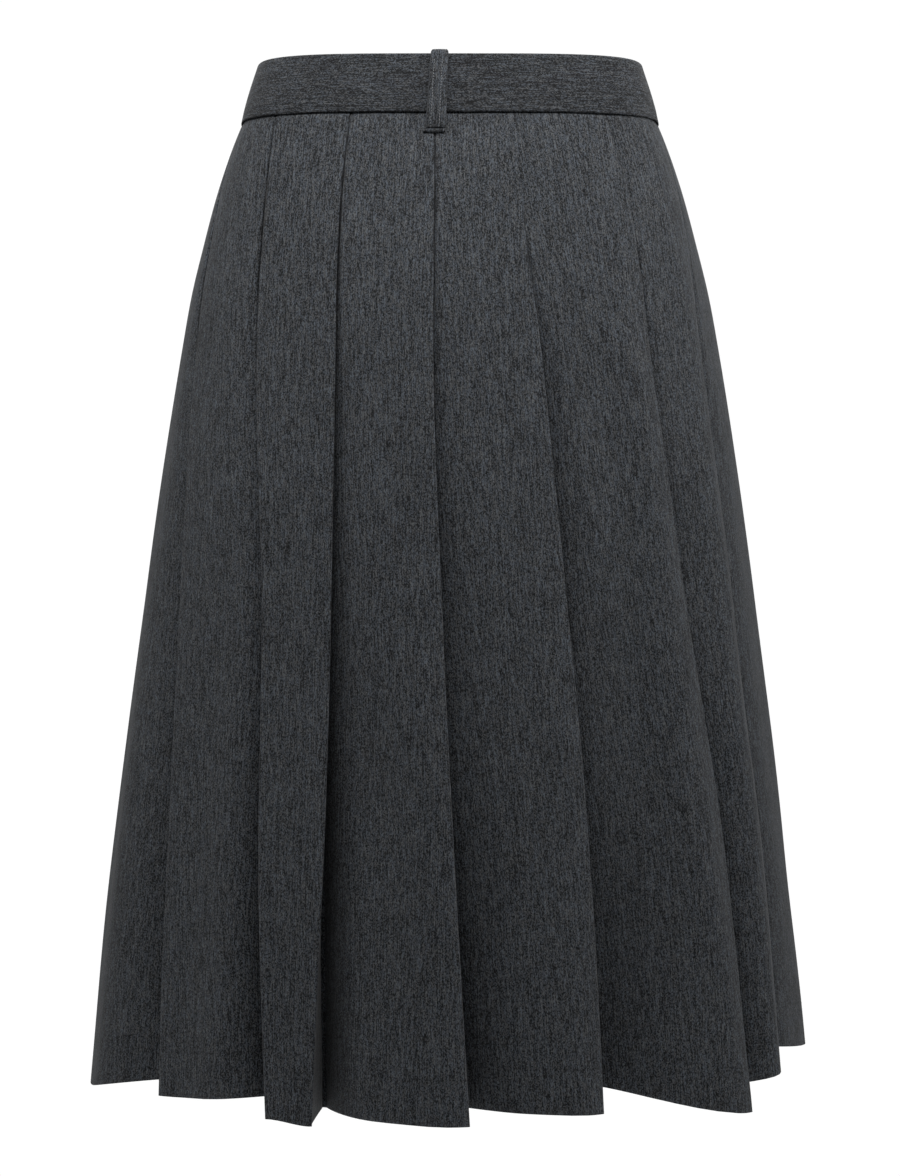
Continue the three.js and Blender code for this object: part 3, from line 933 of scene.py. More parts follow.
@dataclass
class Stitches:
    """Small straight stitches along a line.

    Args:
        name: the piece's name
        length: length of one stitch
        pitch: distance from one to the next
        radius: half the thread's thickness
        sides: faces round the thread
        points: points along one stitch
    """

    name: str
    length: float
    pitch: float
    radius: float
    sides: int = 6
    points: int = 4

    def _tree(self, thread: bpy.types.Material) -> bpy.types.NodeTree:
        """Build the node tree that sets a stitch at each step of the line.

        Args:
            thread: the stitches' material

        Returns:
            The tree.
        """
        tree = bpy.data.node_groups.new(self.name, "GeometryNodeTree")
        face = tree.interface
        face.new_socket("Geometry", in_out="INPUT", socket_type="NodeSocketGeometry")
        for label in ("Stitch length", "Pitch", "Thread radius"):
            face.new_socket(label, in_out="INPUT", socket_type="NodeSocketFloat")
        face.new_socket("Geometry", in_out="OUTPUT", socket_type="NodeSocketGeometry")
        kit = NodeKit(tree)
        given = kit.node("NodeGroupInput", {}, {}, "Geometry")
        path = kit.node("GeometryNodeMeshToCurve", {}, {"Mesh": given})
        spacing = {"Curve": path, "Length": given.out("Pitch")}
        even = kit.node("GeometryNodeResampleCurve", {"mode": "LENGTH"}, spacing)
        length = given.out("Stitch length")
        ends = {
            label: kit.node("ShaderNodeCombineXYZ", {}, {"X": length * share})
            for label, share in (("Start", -0.5), ("End", 0.5))
        }
        run = kit.node("GeometryNodeCurvePrimitiveLine", {}, ends)
        finer = kit.node("GeometryNodeResampleCurve", {}, {"Curve": run, "Count": self.points})
        girth = {"Resolution": self.sides, "Radius": given.out("Thread radius")}
        ring = kit.node("GeometryNodeCurvePrimitiveCircle", {}, girth)
        solid = {"Curve": finer, "Profile Curve": ring, "Fill Caps": True}
        body = kit.node("GeometryNodeCurveToMesh", {}, solid)
        tangent = kit.node("GeometryNodeInputTangent", {}, {})
        turn = kit.node("FunctionNodeAlignRotationToVector", {"axis": "X"}, {"Vector": tangent})
        spread = {"Points": even, "Instance": body, "Rotation": turn}
        row = kit.node("GeometryNodeInstanceOnPoints", {}, spread)
        real = kit.node("GeometryNodeRealizeInstances", {}, {"Geometry": row})
        paint = kit.node("GeometryNodeSetMaterial", {}, {"Geometry": real, "Material": thread})
        kit.node("NodeGroupOutput", {}, {"Geometry": paint})
        return tree

    def along(self, line: np.ndarray, thread: bpy.types.Material) -> bpy.types.Object:
        """Set stitches along a line of points.

        Args:
            line: the points
            thread: the stitches' material

        Returns:
            One mesh of all the stitches.
        """
        mesh = bpy.data.meshes.new(self.name)
        edges = [(i, i + 1) for i in range(len(line) - 1)]
        mesh.from_pydata((np.asarray(line) * MM).tolist(), edges, [])
        obj = bpy.data.objects.new(self.name, mesh)
        bpy.context.scene.collection.objects.link(obj)
        modifier = obj.modifiers.new("stitches", "NODES")
        modifier.node_group = self._tree(thread)
        sizes = {"Stitch length": self.length, "Pitch": self.pitch, "Thread radius": self.radius}
        for item in modifier.node_group.interface.items_tree:
            if item.in_out == "INPUT" and item.name in sizes:
                modifier[item.identifier] = sizes[item.name] * MM
        bpy.context.view_layer.update()
        depsgraph = bpy.context.evaluated_depsgraph_get()
        result = bpy.data.meshes.new_from_object(obj.evaluated_get(depsgraph))
        obj.modifiers.clear()
        obj.data = result
        obj.data.name = self.name
        return obj


# pleated cloth


@dataclass(frozen=True)
class Lie:
    """How one fold lies at one level.

    Args:
        side: the way its edge points, as a sign along the arc
        edge: arc of its edge
        inner: arc of its inner fold
        pitch: distance from the middle of one layer to the next
        under: depth of the inner fold's upper layer
        bottom: depth of its lower layer
        flat: length over which the next face stays at the bottom
        rise: length over which it comes up
        hollow: power of its curve
        shade: painted shade of the slit under the edge
        deep_shade: painted shade in the depth of the fold
        reach: how far the slit's painted shade reaches beyond the edge
    """

    side: int
    edge: float
    inner: float
    pitch: float
    under: float
    bottom: float
    flat: float
    rise: float
    hollow: float
    shade: float
    deep_shade: float
    reach: float


@dataclass
class PleatedCloth:
    """The pleated tube from one side seam to the other.

    Args:
        name: the piece's name
        node: the solid that it stands for
        first: name of the fold whose inner fold hides the seam it starts at
        last: name of the fold whose inner fold hides the seam it ends at
        form: the filled-out form
        soft: the uneven hang
        folds: all the folds round
        top: height of its upper edge, inside the band
        fold_top: level of the fold tables that the upper edge takes
        hem_level: level of the fold tables that the hem takes
        wall: its thickness
        valley_run: least length over which a face stays at the bottom of a fold
        pressed_to: length below the band over which the pleats are pressed flat
        loosens_over: length over which they then open
        least_pressed: least share of a face's rise that is left where the pleat is pressed
        sewn_flat: length below the band over which the slits open
        slit_at_band: share of a slit's width at the band
        painted_slit_fade: width over which the slit's painted shade fades out
        shade_at_band: share of that painted shade at the band
        shade_loose: share of it where the pleat is open
        deep_shade: painted shade in the depth of an open fold
        deep_by_slit: share of that painted shade in a fold with a slit
        seam_draw: how far the band's seam draws the cloth in
        seam_draw_run: height over which it does
        rise_max: greatest share of a face that its rise takes
        inverted_rise_max: the same where the face rises at both ends
        rise_steps: knots of a rise, in shares of it
        under_steps: points of the run back under an edge, in shares of it
        face_steps: points from one knot of a face to the next
        close_steps: the same beside a wide flat, with the last one at corner_gap from its end
        corner_gap: distance from that point to the knot
        wide_flat: length from which a flat is wide
        bend_points: points round a bend
        seam_rows: heights of the rows at the band's seam
        long_rows: how many rows run down the pleats
        first_gap: height of the first of them, against that of the last seam row
        row_growth: power by which their distances grow
        last_gap: distance from the last of them to the first hem row, in shares of the height
        hem_rows: heights of the hem's rows above the edge
        waist_row: the row taken as the waist; not used
        turn_up: height of the hem's turn-up
        turn_up_over: how far above it a row may lie and still belong to it
        turn_up_wall: its thickness
        turn_up_gap: its distance from the cloth
        turn_up_lift: how far its folded edge lies above the hem's
        stitch: length of a hem stitch, distance from one to the next and half the thread's thickness
        stitch_out: how far the middle of the thread lies out from the cloth
        stitch_margin: points at both seams without stitches
        panel_run: cloth coordinate from the middle of one face to the next
    """

    name: str
    node: str
    first: str
    last: str
    form: FilledForm
    soft: SoftForms
    folds: tuple[Fold, ...] = FOLDS
    top: float = 1.6
    fold_top: float = -0.3
    hem_level: float = -640.0
    wall: float = 0.62
    valley_run: float = 3.0
    pressed_to: float = 60.0
    loosens_over: float = 150.0
    least_pressed: float = 0.07
    sewn_flat: float = 90.0
    slit_at_band: float = 0.4
    painted_slit_fade: float = 0.9
    shade_at_band: float = 0.3
    shade_loose: float = 0.1
    deep_shade: float = 0.33
    deep_by_slit: float = 0.5
    seam_draw: float = 0.9
    seam_draw_run: float = 1.5
    rise_max: float = 0.88
    inverted_rise_max: float = 0.44
    rise_steps: tuple[float, ...] = (0.1, 0.26, 0.5, 1.0)
    under_steps: tuple[float, ...] = (0.14, 0.3, 0.5, 0.7, 0.86)
    face_steps: tuple[float, ...] = (0.0, 0.25, 0.5, 0.75)
    close_steps: tuple[float, ...] = (0.0, 0.45, 0.75)
    corner_gap: float = 1.1
    wide_flat: float = 6.0
    bend_points: int = 5
    seam_rows: tuple[float, ...] = (1.6, 0.7, 0.1, -0.5, -1.1, -1.8, -2.8)
    long_rows: int = 80
    first_gap: float = 1.6
    row_growth: float = 1.12
    last_gap: float = 0.008
    hem_rows: tuple[float, ...] = (40, 36, 33, 31, 29.5, 28.5, 27.5, 26, 22, 17, 12, 8, 5, 2.5, 1.0, 0.0)
    waist_row: int = 3
    turn_up: float = 28.5
    turn_up_over: float = 0.6
    turn_up_wall: float = 0.45
    turn_up_gap: float = 0.08
    turn_up_lift: float = 0.25
    stitch: tuple[float, float, float] = (0.9, 6.5, 0.13)
    stitch_out: float = 0.02
    stitch_margin: int = 4
    panel_run: float = 400.0

    def _row_shares(self) -> np.ndarray:
        """Work out the rows' heights.

        Returns:
            The heights as shares of the way down.
        """
        full = self.top - self.hem_level
        seam = (self.top - np.asarray(self.seam_rows)) / full
        low = 1 - np.asarray(self.hem_rows) / full
        first = self.first_gap * seam[-1]
        grown = np.linspace(0, 1, self.long_rows) ** self.row_growth
        return np.concatenate([seam, first + grown * (low[0] - self.last_gap - first), low])

    def _lie(self, index: int, level: float, half: float) -> Lie:
        """Work out how one fold lies at a level.

        Args:
            index: number of the fold, counted on past the last one for the next way round
            level: the level
            half: half the way round there

        Returns:
            How it lies.
        """
        turns, number = divmod(index, len(self.folds))
        fold, at = self.folds[number], opening(level)
        side = fold.hand.value
        overlap, valley = at.overlap * fold.tuck, at.valley * fold.depth
        loose = float(smoothstep((-level - self.pressed_to) / self.loosens_over))
        below = float(smoothstep(-level / self.sewn_flat))
        slit = fold.slit * blend(self.slit_at_band, 1.0, below)
        place = float(Profile(FOLD_LEVELS[::-1], fold.at[::-1])(level))
        edge = (place + turns * FULL_ROUND) * half
        beyond = (slit if fold.pressed else -at.pitch) * (1 - loose)
        # How strong the painted shade in the slit is, weaker towards the band
        dark = min(fold.slit, 1.0) * blend(self.shade_at_band, 1.0, below)
        return Lie(
            side=side,
            edge=edge,
            inner=edge - side * overlap,
            pitch=at.pitch,
            under=at.pitch + valley,
            bottom=2 * at.pitch + valley,
            flat=max(at.flat * overlap + beyond, self.valley_run),
            rise=at.rise * blend(max(fold.pressed, self.least_pressed), 1.0, loose),
            hollow=at.hollow,
            shade=blend(1.0, self.shade_loose, loose) * dark,
            deep_shade=self.deep_shade * loose * (self.deep_by_slit if fold.slit else 1.0),
            reach=slit + at.pitch / 2,
        )

    def _face(self, a: Lie, b: Lie) -> tuple[np.ndarray, ...]:
        """Work out the face between two folds at a level.

        Args:
            a: how the fold on its -X side lies
            b: how the fold on its +X side lies

        Returns:
            Arcs, depths, shares of the way along the face, and painted shades.
        """
        under_a, under_b = a.side > 0, b.side < 0
        r = a.pitch / 2
        start = (a.inner if under_a else a.edge) + r
        end = (b.inner if under_b else b.edge) - r
        width = end - start
        limit = width * (self.inverted_rise_max if under_a and under_b else self.rise_max)
        rise_a, rise_b = min(a.rise, limit - a.flat), min(b.rise, limit - b.flat)
        flat_b = width - b.flat
        knots = [0.0]
        if under_a:
            knots += [a.flat / 2, a.flat] + [a.flat + s * rise_a for s in self.rise_steps]
        else:
            inner = a.inner - start
            room = flat_b - rise_b if under_b else b.inner - start
            knots += [min(inner / 2, room / 3), min(inner, room * 2 / 3)]
        if under_a and under_b:
            knots.append(width / 2)
        if under_b:
            knots += [flat_b - s * rise_b for s in reversed(self.rise_steps)]
            knots += [flat_b, width - b.flat / 2]
        else:
            inner = end - b.inner
            room = width - a.flat - rise_a if under_a else end - a.inner
            knots += [width - min(inner, room * 2 / 3), width - min(inner / 2, room / 3)]
        knots.append(width)
        places = []
        for low, high in zip(knots[:-1], knots[1:]):
            steps, wide = self.face_steps, high - low > self.wide_flat
            if wide and under_a and high == a.flat:
                steps = (*self.close_steps, 1 - self.corner_gap / (high - low))
            elif wide and under_b and low == flat_b:
                steps = (0.0, self.corner_gap / (high - low), *(1 - s for s in self.close_steps[:0:-1]))
            places.append(low + (high - low) * np.array(steps))
        x = np.concatenate([*places, [width]])
        # Painted shade: darker deep in each fold and in the slit just beyond its edge
        depth, shade = np.zeros_like(x), np.zeros_like(x)
        for fold, rise, run, under in ((a, rise_a, x, under_a), (b, rise_b, width - x, under_b)):
            if under:
                low = (1 - np.clip((run - fold.flat) / rise, 0, 1)) ** fold.hollow
                depth += fold.bottom * low
                shade += fold.deep_shade * low
                beyond = fold.side * (start + x - fold.edge) - fold.reach
                shade += fold.shade * (1 - smoothstep(beyond / self.painted_slit_fade))
        return start + x, depth, x / width, shade

    def _bend(self, fold: Fold, s: Lie) -> tuple[np.ndarray, ...]:
        """Work out the turn round an edge, the run back under it and the turn round the inner fold.

        Args:
            fold: the fold
            s: how it lies at this level

        Returns:
            Arcs, depths, hem heights and painted shades.
        """
        r, turn = s.pitch / 2, s.side * s.pitch / 2
        angle = np.linspace(-np.pi / 2, np.pi / 2, self.bend_points + 2)[1:]
        near, far = s.edge - turn, s.inner + turn
        run = np.array(self.under_steps)
        arc = [near + turn * np.cos(angle), blend(near, far, run), [far], far - turn * np.cos(angle[:-1])]
        depth = [r + r * np.sin(angle), blend(s.pitch, s.under, run)]
        depth += [[s.under], s.under + r + r * np.sin(angle[:-1])]
        hem = [[fold.hem_top] * len(angle), blend(fold.hem_top, fold.hem_under, run)]
        hem += [[fold.hem_under] * len(angle)]
        depth = np.concatenate(depth)
        return np.concatenate(arc), depth, np.concatenate(hem), s.shade * smoothstep((depth - r) / r)

    def _row(self, share: float) -> tuple[np.ndarray, ...]:
        """Work out one row.

        Args:
            share: its height as a share of the way down

        Returns:
            Middle points, heights above the hem, painted shades and the number of the face of each point.
        """
        names = [fold.name for fold in self.folds]
        first, last = names.index(self.first), names.index(self.last)
        if last <= first:
            last += len(names)
        level = blend(self.fold_top, self.hem_level, share)
        half = self.form.half_length(level)
        middle, end = self.bend_points + 3, self.bend_points // 2 + 1
        parts = []
        for index in range(first, last + 1):
            fold, lie = self.folds[index % len(names)], self._lie(index, level, half)
            right = fold.hand is Hand.RIGHT
            bend = self._bend(fold, lie)
            count = len(bend[0])
            if not right:
                bend = tuple(part[::-1] for part in bend)
            before = middle + 1 if right else count - 1 - middle
            group = np.where(np.arange(count) < before, index - 1, index)
            keep = slice(None)
            if index == first:
                keep, group = slice(0, 0) if right else slice(end, None), np.full(count, index)
            if index == last:
                keep, group = slice(None, count - end) if right else slice(0, 0), np.full(count, index - 1)
            parts.append([part[keep] for part in (*bend, group)])
            if index < last:
                after = fold.hem_under if right else fold.hem_top
                nxt = self.folds[(index + 1) % len(names)]
                ahead = nxt.hem_top if nxt.hand is Hand.RIGHT else nxt.hem_under
                arc, depth, way, shade = self._face(lie, self._lie(index + 1, level, half))
                hem = blend(after, ahead, smoothstep(way))
                parts.append([arc, depth, hem, shade, np.full(len(arc), index)])
        arc, depth, hem, shade, group = (np.concatenate(part) for part in zip(*parts))
        z = blend(self.top, hem, share)
        out = self.soft.outward(arc / half, z, half)
        drawn = self.seam_draw * np.exp(-((z / self.seam_draw_run) ** 2))
        return self.form.place(z, arc / half, depth - out + drawn), z - hem, shade, group

    def _along(self, points: np.ndarray, group: np.ndarray) -> tuple[np.ndarray, np.ndarray]:
        """Measure the cloth along its rows, from the middle of each face.

        Args:
            points: rows of middle points
            group: the number of each column's face

        Returns:
            The cloth coordinate at both ends of the span that starts at each point.
        """
        step = lengths(points, 1)
        total = np.concatenate([np.zeros((len(points), 1)), np.cumsum(step, axis=1)], axis=1)
        start = np.empty_like(total)
        for number in np.unique(group):
            columns = np.flatnonzero(group == number)
            centre = total[:, columns].mean(axis=1, keepdims=True)
            start[:, columns] = total[:, columns] - centre + number * self.panel_run
        end = start.copy()
        end[:, :-1] = start[:, :-1] + step
        return start, end

    def build(self, finish: bpy.types.Material, thread: bpy.types.Material) -> None:
        """Make the cloth, its turn-up and its hem stitches.

        Args:
            finish: the cloth's material
            thread: the material of the hem stitches
        """
        rows = [self._row(share) for share in self._row_shares()]
        points, above, shade = (np.stack([row[part] for row in rows]) for part in range(3))
        normals = row_normals(points)
        along, down = self._along(points, rows[0][3]), -points[..., 2]
        cloth = Shell(self.name, points, normals, self.wall, along, down, above, shade).build()
        low = np.flatnonzero(above[:, 0] <= self.turn_up + self.turn_up_over)
        turned = points[low] - normals[low] * (self.wall / 2 + self.turn_up_wall / 2 + self.turn_up_gap)
        turned[-1, :, 2] += self.turn_up_lift
        near = tuple(ends[low] for ends in along)
        name = f"{self.name}_turn_up"
        up = Shell(name, turned, normals[low], self.turn_up_wall, near, down[low], shade=shade[low]).build()
        for piece in (cloth, up):
            dress(piece, finish)
        row = int(np.argmin(np.abs(above[:, 0] - self.turn_up)))
        line = points[row] + normals[row] * (self.wall / 2 + self.stitch_out)
        line = line[self.stitch_margin : -self.stitch_margin]
        stitches = Stitches(f"{self.name}_hem_stitches", *self.stitch).along(line, thread)
        dress(stitches)
        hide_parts(self.node)
        length = float(lengths(points).sum(axis=0).mean())


# waistband


@dataclass
class Waistband:
    """A strip folded over at its top edge, round the waist.

    Args:
        form: the filled-out form
        name: the piece's name
        node: the solid that it stands for
        bottom: height of its lower edge
        top: height of its fold
        outside: how far the outer leaf stands out
        inside: how far the inner leaf lies in, at the top and at the bottom
        wall: thickness of one leaf
        columns: points round
        lip: points of the outer leaf's turned lower edge, out from the leaf and up from the edge
        leaf_start: height above the edge at which the leaf itself begins
        measured_at: height at which its length is measured
        waves: how many waves its slight unevenness is made of
        turns: least and greatest number of their half waves round
        lengths: least and greatest length over which they lean
        ends: lengths over which they end at the lower edge and at the top
        wave_height: height of that unevenness
        seed: the fixed seed of the waves
    """

    form: FilledForm
    name: str = "waistband_strip"
    node: str = "waistband"
    bottom: float = 0.25
    top: float = 40.3
    outside: float = 0.85
    inside: tuple[float, float] = (0.85, 2.4)
    wall: float = 0.6
    columns: int = 420
    lip: tuple[tuple[float, float], ...] = ((-0.75, 2.2), (-0.62, 0.5), (-0.22, 0.02), (-0.03, 0.35))
    leaf_start: float = 1.2
    measured_at: float = 20.0
    waves: int = 14
    turns: tuple[int, int] = (4, 40)
    lengths: tuple[float, float] = (30, 140)
    ends: tuple[float, float] = (6.0, 5.0)
    wave_height: float = 0.16
    seed: int = 97

    def _leaf_path(self) -> tuple[np.ndarray, np.ndarray]:
        """Work out the strip's path, from its outer lower edge to its inner one.

        Returns:
            How far out and how high it runs.
        """
        low = self.bottom + self.wall / 2
        turn = self.top - self.wall / 2 - self.outside
        z = np.linspace(low + self.leaf_start, turn, 13)
        outer = np.stack([np.full_like(z, self.outside), z], axis=-1)
        angle = np.linspace(0, np.pi, 9)[1:-1]
        over = np.stack([self.outside * np.cos(angle), turn + self.outside * np.sin(angle)], axis=-1)
        z = np.linspace(turn, low, 12)
        inner = np.stack([-blend(*self.inside, smoothstep((turn - z) / (turn - low))), z], axis=-1)
        path = np.concatenate([np.array(self.lip) + (self.outside, low), outer, over, inner])
        return path[:, 0], path[:, 1]

    def _waves(self, place: np.ndarray, z: np.ndarray) -> np.ndarray:
        """Work out the unevenness of the strip, which ends at both its edges.

        Args:
            place: places of the columns
            z: heights of the rows

        Returns:
            How far each point stands out.
        """
        rng = np.random.default_rng(self.seed)
        wave = np.zeros((len(z), len(place)))
        for _ in range(self.waves):
            turns, tall = int(rng.integers(*self.turns)), rng.uniform(*self.lengths)
            phase, lean = rng.uniform(0, 6.28), rng.uniform(-1, 1)
            wave += np.sin(np.pi * turns * place[None, :] + z[:, None] / tall * 6.28 * lean + phase)
        fade = smoothstep(z / self.ends[0]) * smoothstep((self.top - z) / self.ends[1])
        return wave / math.sqrt(self.waves) * self.wave_height * fade[:, None]

    def build(self, finish: bpy.types.Material) -> None:
        """Make the strip.

        Args:
            finish: its material
        """
        out, z = self._leaf_path()
        place = -1 + FULL_ROUND * (np.arange(self.columns) + 0.5) / self.columns
        middle = self.form.place(z[:, None], place[None, :], -out[:, None] - self._waves(place, z))
        round_ = np.roll(middle, -1, axis=1) - np.roll(middle, 1, axis=1)
        normals = np.cross(np.gradient(middle, axis=0), round_)
        normals /= np.linalg.norm(normals, axis=-1, keepdims=True)
        across = np.concatenate([[0], np.cumsum(lengths(middle).mean(axis=1))])
        half = self.form.half_length(self.measured_at)
        start = np.tile(((place + 1) * half)[None, :], (len(z), 1))
        along = (start, start + FULL_ROUND * half / self.columns)
        down = np.tile(across[:, None], (1, self.columns))
        band = Shell(self.name, middle, normals, self.wall, along, down, closed=True).build()
        dress(band, finish)
        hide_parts(self.node)


# belt loops


@dataclass
class BeltLoop:
    """A folded strap that stands off the band, sewn at both ends.

    Args:
        form: the filled-out form
        node: the solid that it stands for
        at: its place round the waist
        width: its width
        wall: its thickness
        crown: how far its middle bulges
        rim: width of its rounded side
        side_points: points of that side, in from its outermost line and as a share of half the thickness
        round_side: cloth that each step round the section takes besides its width
        narrows: share of the width lost at the top fold
        narrows_over: height from which it narrows there, and the length over which it does
        end_flare: how far the folded end stands out on the left
        flares_over: height below which it does, and the length over which it grows
        follows: heights between which the strap follows the form
        slant: how far it leans towards +X for each millimetre up
        level: height at which its place and lean are measured
        stitch_rows: where across it its two rows of stitches run
        stitch: length of a stitch, distance from one to the next and half the thread's thickness
        stitch_crown: share of the bulge on which they lie
        stitch_out: how far the middle of the thread lies out from the strap
        stitch_run: first and last step of the path with stitches
        steps: steps of the path
        path: height, distance out from the form and thickness share along the strap
    """

    form: FilledForm
    node: str
    at: float
    width: float = 12.5
    wall: float = 1.35
    crown: float = 0.18
    rim: float = 0.55
    side_points: tuple[tuple[float, float], ...] = ((0.16, 0.75), (0.0, 0.0), (0.16, -0.75))
    round_side: float = 0.3
    narrows: float = 0.12
    narrows_over: tuple[float, float] = (41.0, 1.2)
    end_flare: float = 1.5
    flares_over: tuple[float, float] = (-10.9, 0.7)
    follows: tuple[float, float] = (-40.0, 41.9)
    slant: float = 0.032
    level: float = 15.0
    stitch_rows: tuple[float, float] = (-3.3, 2.1)
    stitch: tuple[float, float, float] = (1.0, 2.0, 0.19)
    stitch_crown: float = 0.55
    stitch_out: float = 0.03
    stitch_run: tuple[int, int] = (3, 54)
    steps: int = 64
    path: tuple[tuple[float, float, float], ...] = (
        (-13.5, 0.7, 0.5),
        (-13.1, 0.95, 0.85),
        (-12.4, 1.15, 1.1),
        (-11.6, 1.1, 1.0),
        (-11.2, 0.62, 0.45),
        (-10.6, 0.62, 0.45),
        (-10.3, 1.35, 0.95),
        (-9.2, 1.6, 1.0),
        (-6.0, 2.6, 1.0),
        (-2.0, 3.3, 1.0),
        (4.0, 3.9, 1.0),
        (12.0, 4.3, 1.0),
        (22.0, 4.45, 1.0),
        (31.0, 4.2, 1.0),
        (37.0, 3.6, 1.0),
        (40.0, 2.9, 1.0),
        (41.5, 2.1, 1.0),
        (42.1, 1.3, 1.0),
        (42.25, 0.4, 1.0),
        (42.2, -0.3, 1.0),
    )

    def _frame(self) -> tuple[np.ndarray, np.ndarray, np.ndarray]:
        """Work out the strap's run, finely stepped.

        Returns:
            Its path as distances out and heights, its outward direction and its thickness.
        """
        rough = np.array(self.path)
        t = np.concatenate([[0], np.cumsum(np.hypot(np.diff(rough[:, 0]), np.diff(rough[:, 1])))])
        s = np.linspace(0, t[-1], self.steps)
        z, out, thick = (Profile(tuple(t), tuple(rough[:, part]))(s) for part in range(3))
        dz, do = np.gradient(z), np.gradient(out)
        size = np.hypot(dz, do)
        return np.stack([out, z], -1), np.stack([dz / size, -do / size], -1), thick * self.wall

    def _section(self) -> tuple[np.ndarray, ...]:
        """Work out the strap's cross-section, once round.

        Returns:
            Distances across, shares of half the thickness and heights of the bulge.
        """
        half, flat = self.width / 2, self.width / 2 - self.rim
        outer = [(x, 1.0, self.crown * (1 - (x / half) ** 2)) for x in np.linspace(-flat, flat, 9)]
        inner = [(x, -1.0, 0.0) for x in np.linspace(flat, -flat, 5)]
        right = [(half - inset, side, 0.0) for inset, side in self.side_points]
        left = [(inset - half, side, 0.0) for inset, side in reversed(self.side_points)]
        return tuple(np.array(values) for values in zip(*outer, *right, *inner, *left))

    def _point(self, across: np.ndarray, out: np.ndarray, z: np.ndarray) -> np.ndarray:
        """Find points of the strap.

        Args:
            across: distances across it
            out: distances out from the form
            z: heights

        Returns:
            The points.
        """
        level = np.clip(z, *self.follows)
        lean = self.slant * (level - self.level)
        points = self.form.place(level, self.at + (across + lean) / self.form.half_length(self.level), -out)
        points[..., 2] = z
        return points

    def _strap(self, path: np.ndarray, normal: np.ndarray, thick: np.ndarray) -> bpy.types.Object:
        """Make the strap with its map and closed ends.

        Args:
            path: its path
            normal: its outward direction
            thick: its thickness

        Returns:
            The strap.
        """
        x, side, crown = self._section()
        reach = side[None, :] * thick[:, None] / 2 + crown[None, :]
        out, z = (path[:, part, None] + normal[:, part, None] * reach for part in (0, 1))
        height, (top, top_run), (foot, foot_run) = path[:, 1:], self.narrows_over, self.flares_over
        rounded = 1 - self.narrows * smoothstep((height - top) / top_run)
        to_left = smoothstep(-x[None, :] / (self.width / 2))
        flare = self.end_flare * smoothstep((foot - height) / foot_run) * to_left
        points = self._point(x[None, :] * rounded - flare, out, z)
        rows, cols = points.shape[:2]
        number = np.arange(rows * cols).reshape(rows, cols)
        beside = np.roll(number, -1, axis=1)
        around = np.stack([number[:-1], beside[:-1], beside[1:], number[1:]], axis=-1).reshape(-1, 4)
        faces = [*around.tolist(), number[0, ::-1].tolist(), number[-1].tolist()]
        strap = mesh_object(f"{self.node}_strap", points, faces)
        girth = np.concatenate([[0], np.cumsum(np.abs(np.diff(x)) + self.round_side)])
        layer = strap.data.uv_layers.new(name="cloth")
        for loop in strap.data.loops:
            row, col = divmod(loop.vertex_index, cols)
            layer.data[loop.index].uv = (girth[col] * MM, row * MM)
        mesh = bmesh.new()
        mesh.from_mesh(strap.data)
        bmesh.ops.recalc_face_normals(mesh, faces=mesh.faces)
        mesh.to_mesh(strap.data)
        mesh.free()
        return strap

    def build(self, finish: bpy.types.Material, thread: bpy.types.Material) -> None:
        """Make the strap and its two rows of stitches.

        Args:
            finish: the strap's material
            thread: the material of the stitches
        """
        path, normal, thick = self._frame()
        strap = self._strap(path, normal, thick)
        dress(strap, finish)
        rows = []
        keep = slice(*self.stitch_run)
        reach = thick[keep] / 2 + self.crown * self.stitch_crown + self.stitch_out
        out, z = (path[keep, part] + normal[keep, part] * reach for part in (0, 1))
        for at, label in zip(self.stitch_rows, ("left", "right")):
            row = Stitches(f"{self.node}_stitches_{label}", *self.stitch)
            rows.append(row.along(self._point(np.full(len(out), at), out, z), thread))
            dress(rows[-1])
        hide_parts(self.node)
        LOG.info("%s made", self.node)


# studio


@dataclass(frozen=True)
class Lamp:
    """A soft rectangular light. Its sizes are in metres.

    Args:
        name: its name
        place: where it stands
        aim: what it points at
        size: its width and height
        power: in watts
    """

    name: str
    place: tuple[float, float, float]
    aim: tuple[float, float, float]
    size: tuple[float, float]
    power: float

    def build(self) -> None:
        """Set the light up."""
        data = bpy.data.lights.new(self.name, "AREA")
        data.shape = "RECTANGLE"
        data.size, data.size_y = self.size
        data.energy = self.power
        lamp = bpy.data.objects.new(self.name, data)
        lamp.location = self.place
        lamp.rotation_euler = (Vector(self.aim) - Vector(self.place)).to_track_quat("-Z", "Y").to_euler()
        bpy.context.scene.collection.objects.link(lamp)


LAMPS = (
    Lamp("key_top", (0.0, -0.62, 0.75), (0.0, -0.1, 0.0), (1.0, 0.3), 13.0),
    Lamp("key_top_far", (0.0, 0.75, 0.8), (0.0, 0.1, 0.0), (1.0, 0.3), 13.0),
    Lamp("edge_left", (-1.4, -0.2, 0.85), (0.0, 0.0, -0.05), (0.5, 0.8), 12.6),
    Lamp("edge_right", (1.4, -0.2, 0.85), (0.0, 0.0, -0.05), (0.5, 0.8), 15.3),
    Lamp("hip_left", (-0.75, -0.5, 0.5), (-0.15, -0.08, -0.06), (0.3, 0.3), 1.7),
    Lamp("hip_right", (0.8, -0.45, 0.3), (0.18, -0.08, -0.22), (0.3, 0.3), 2.1),
)


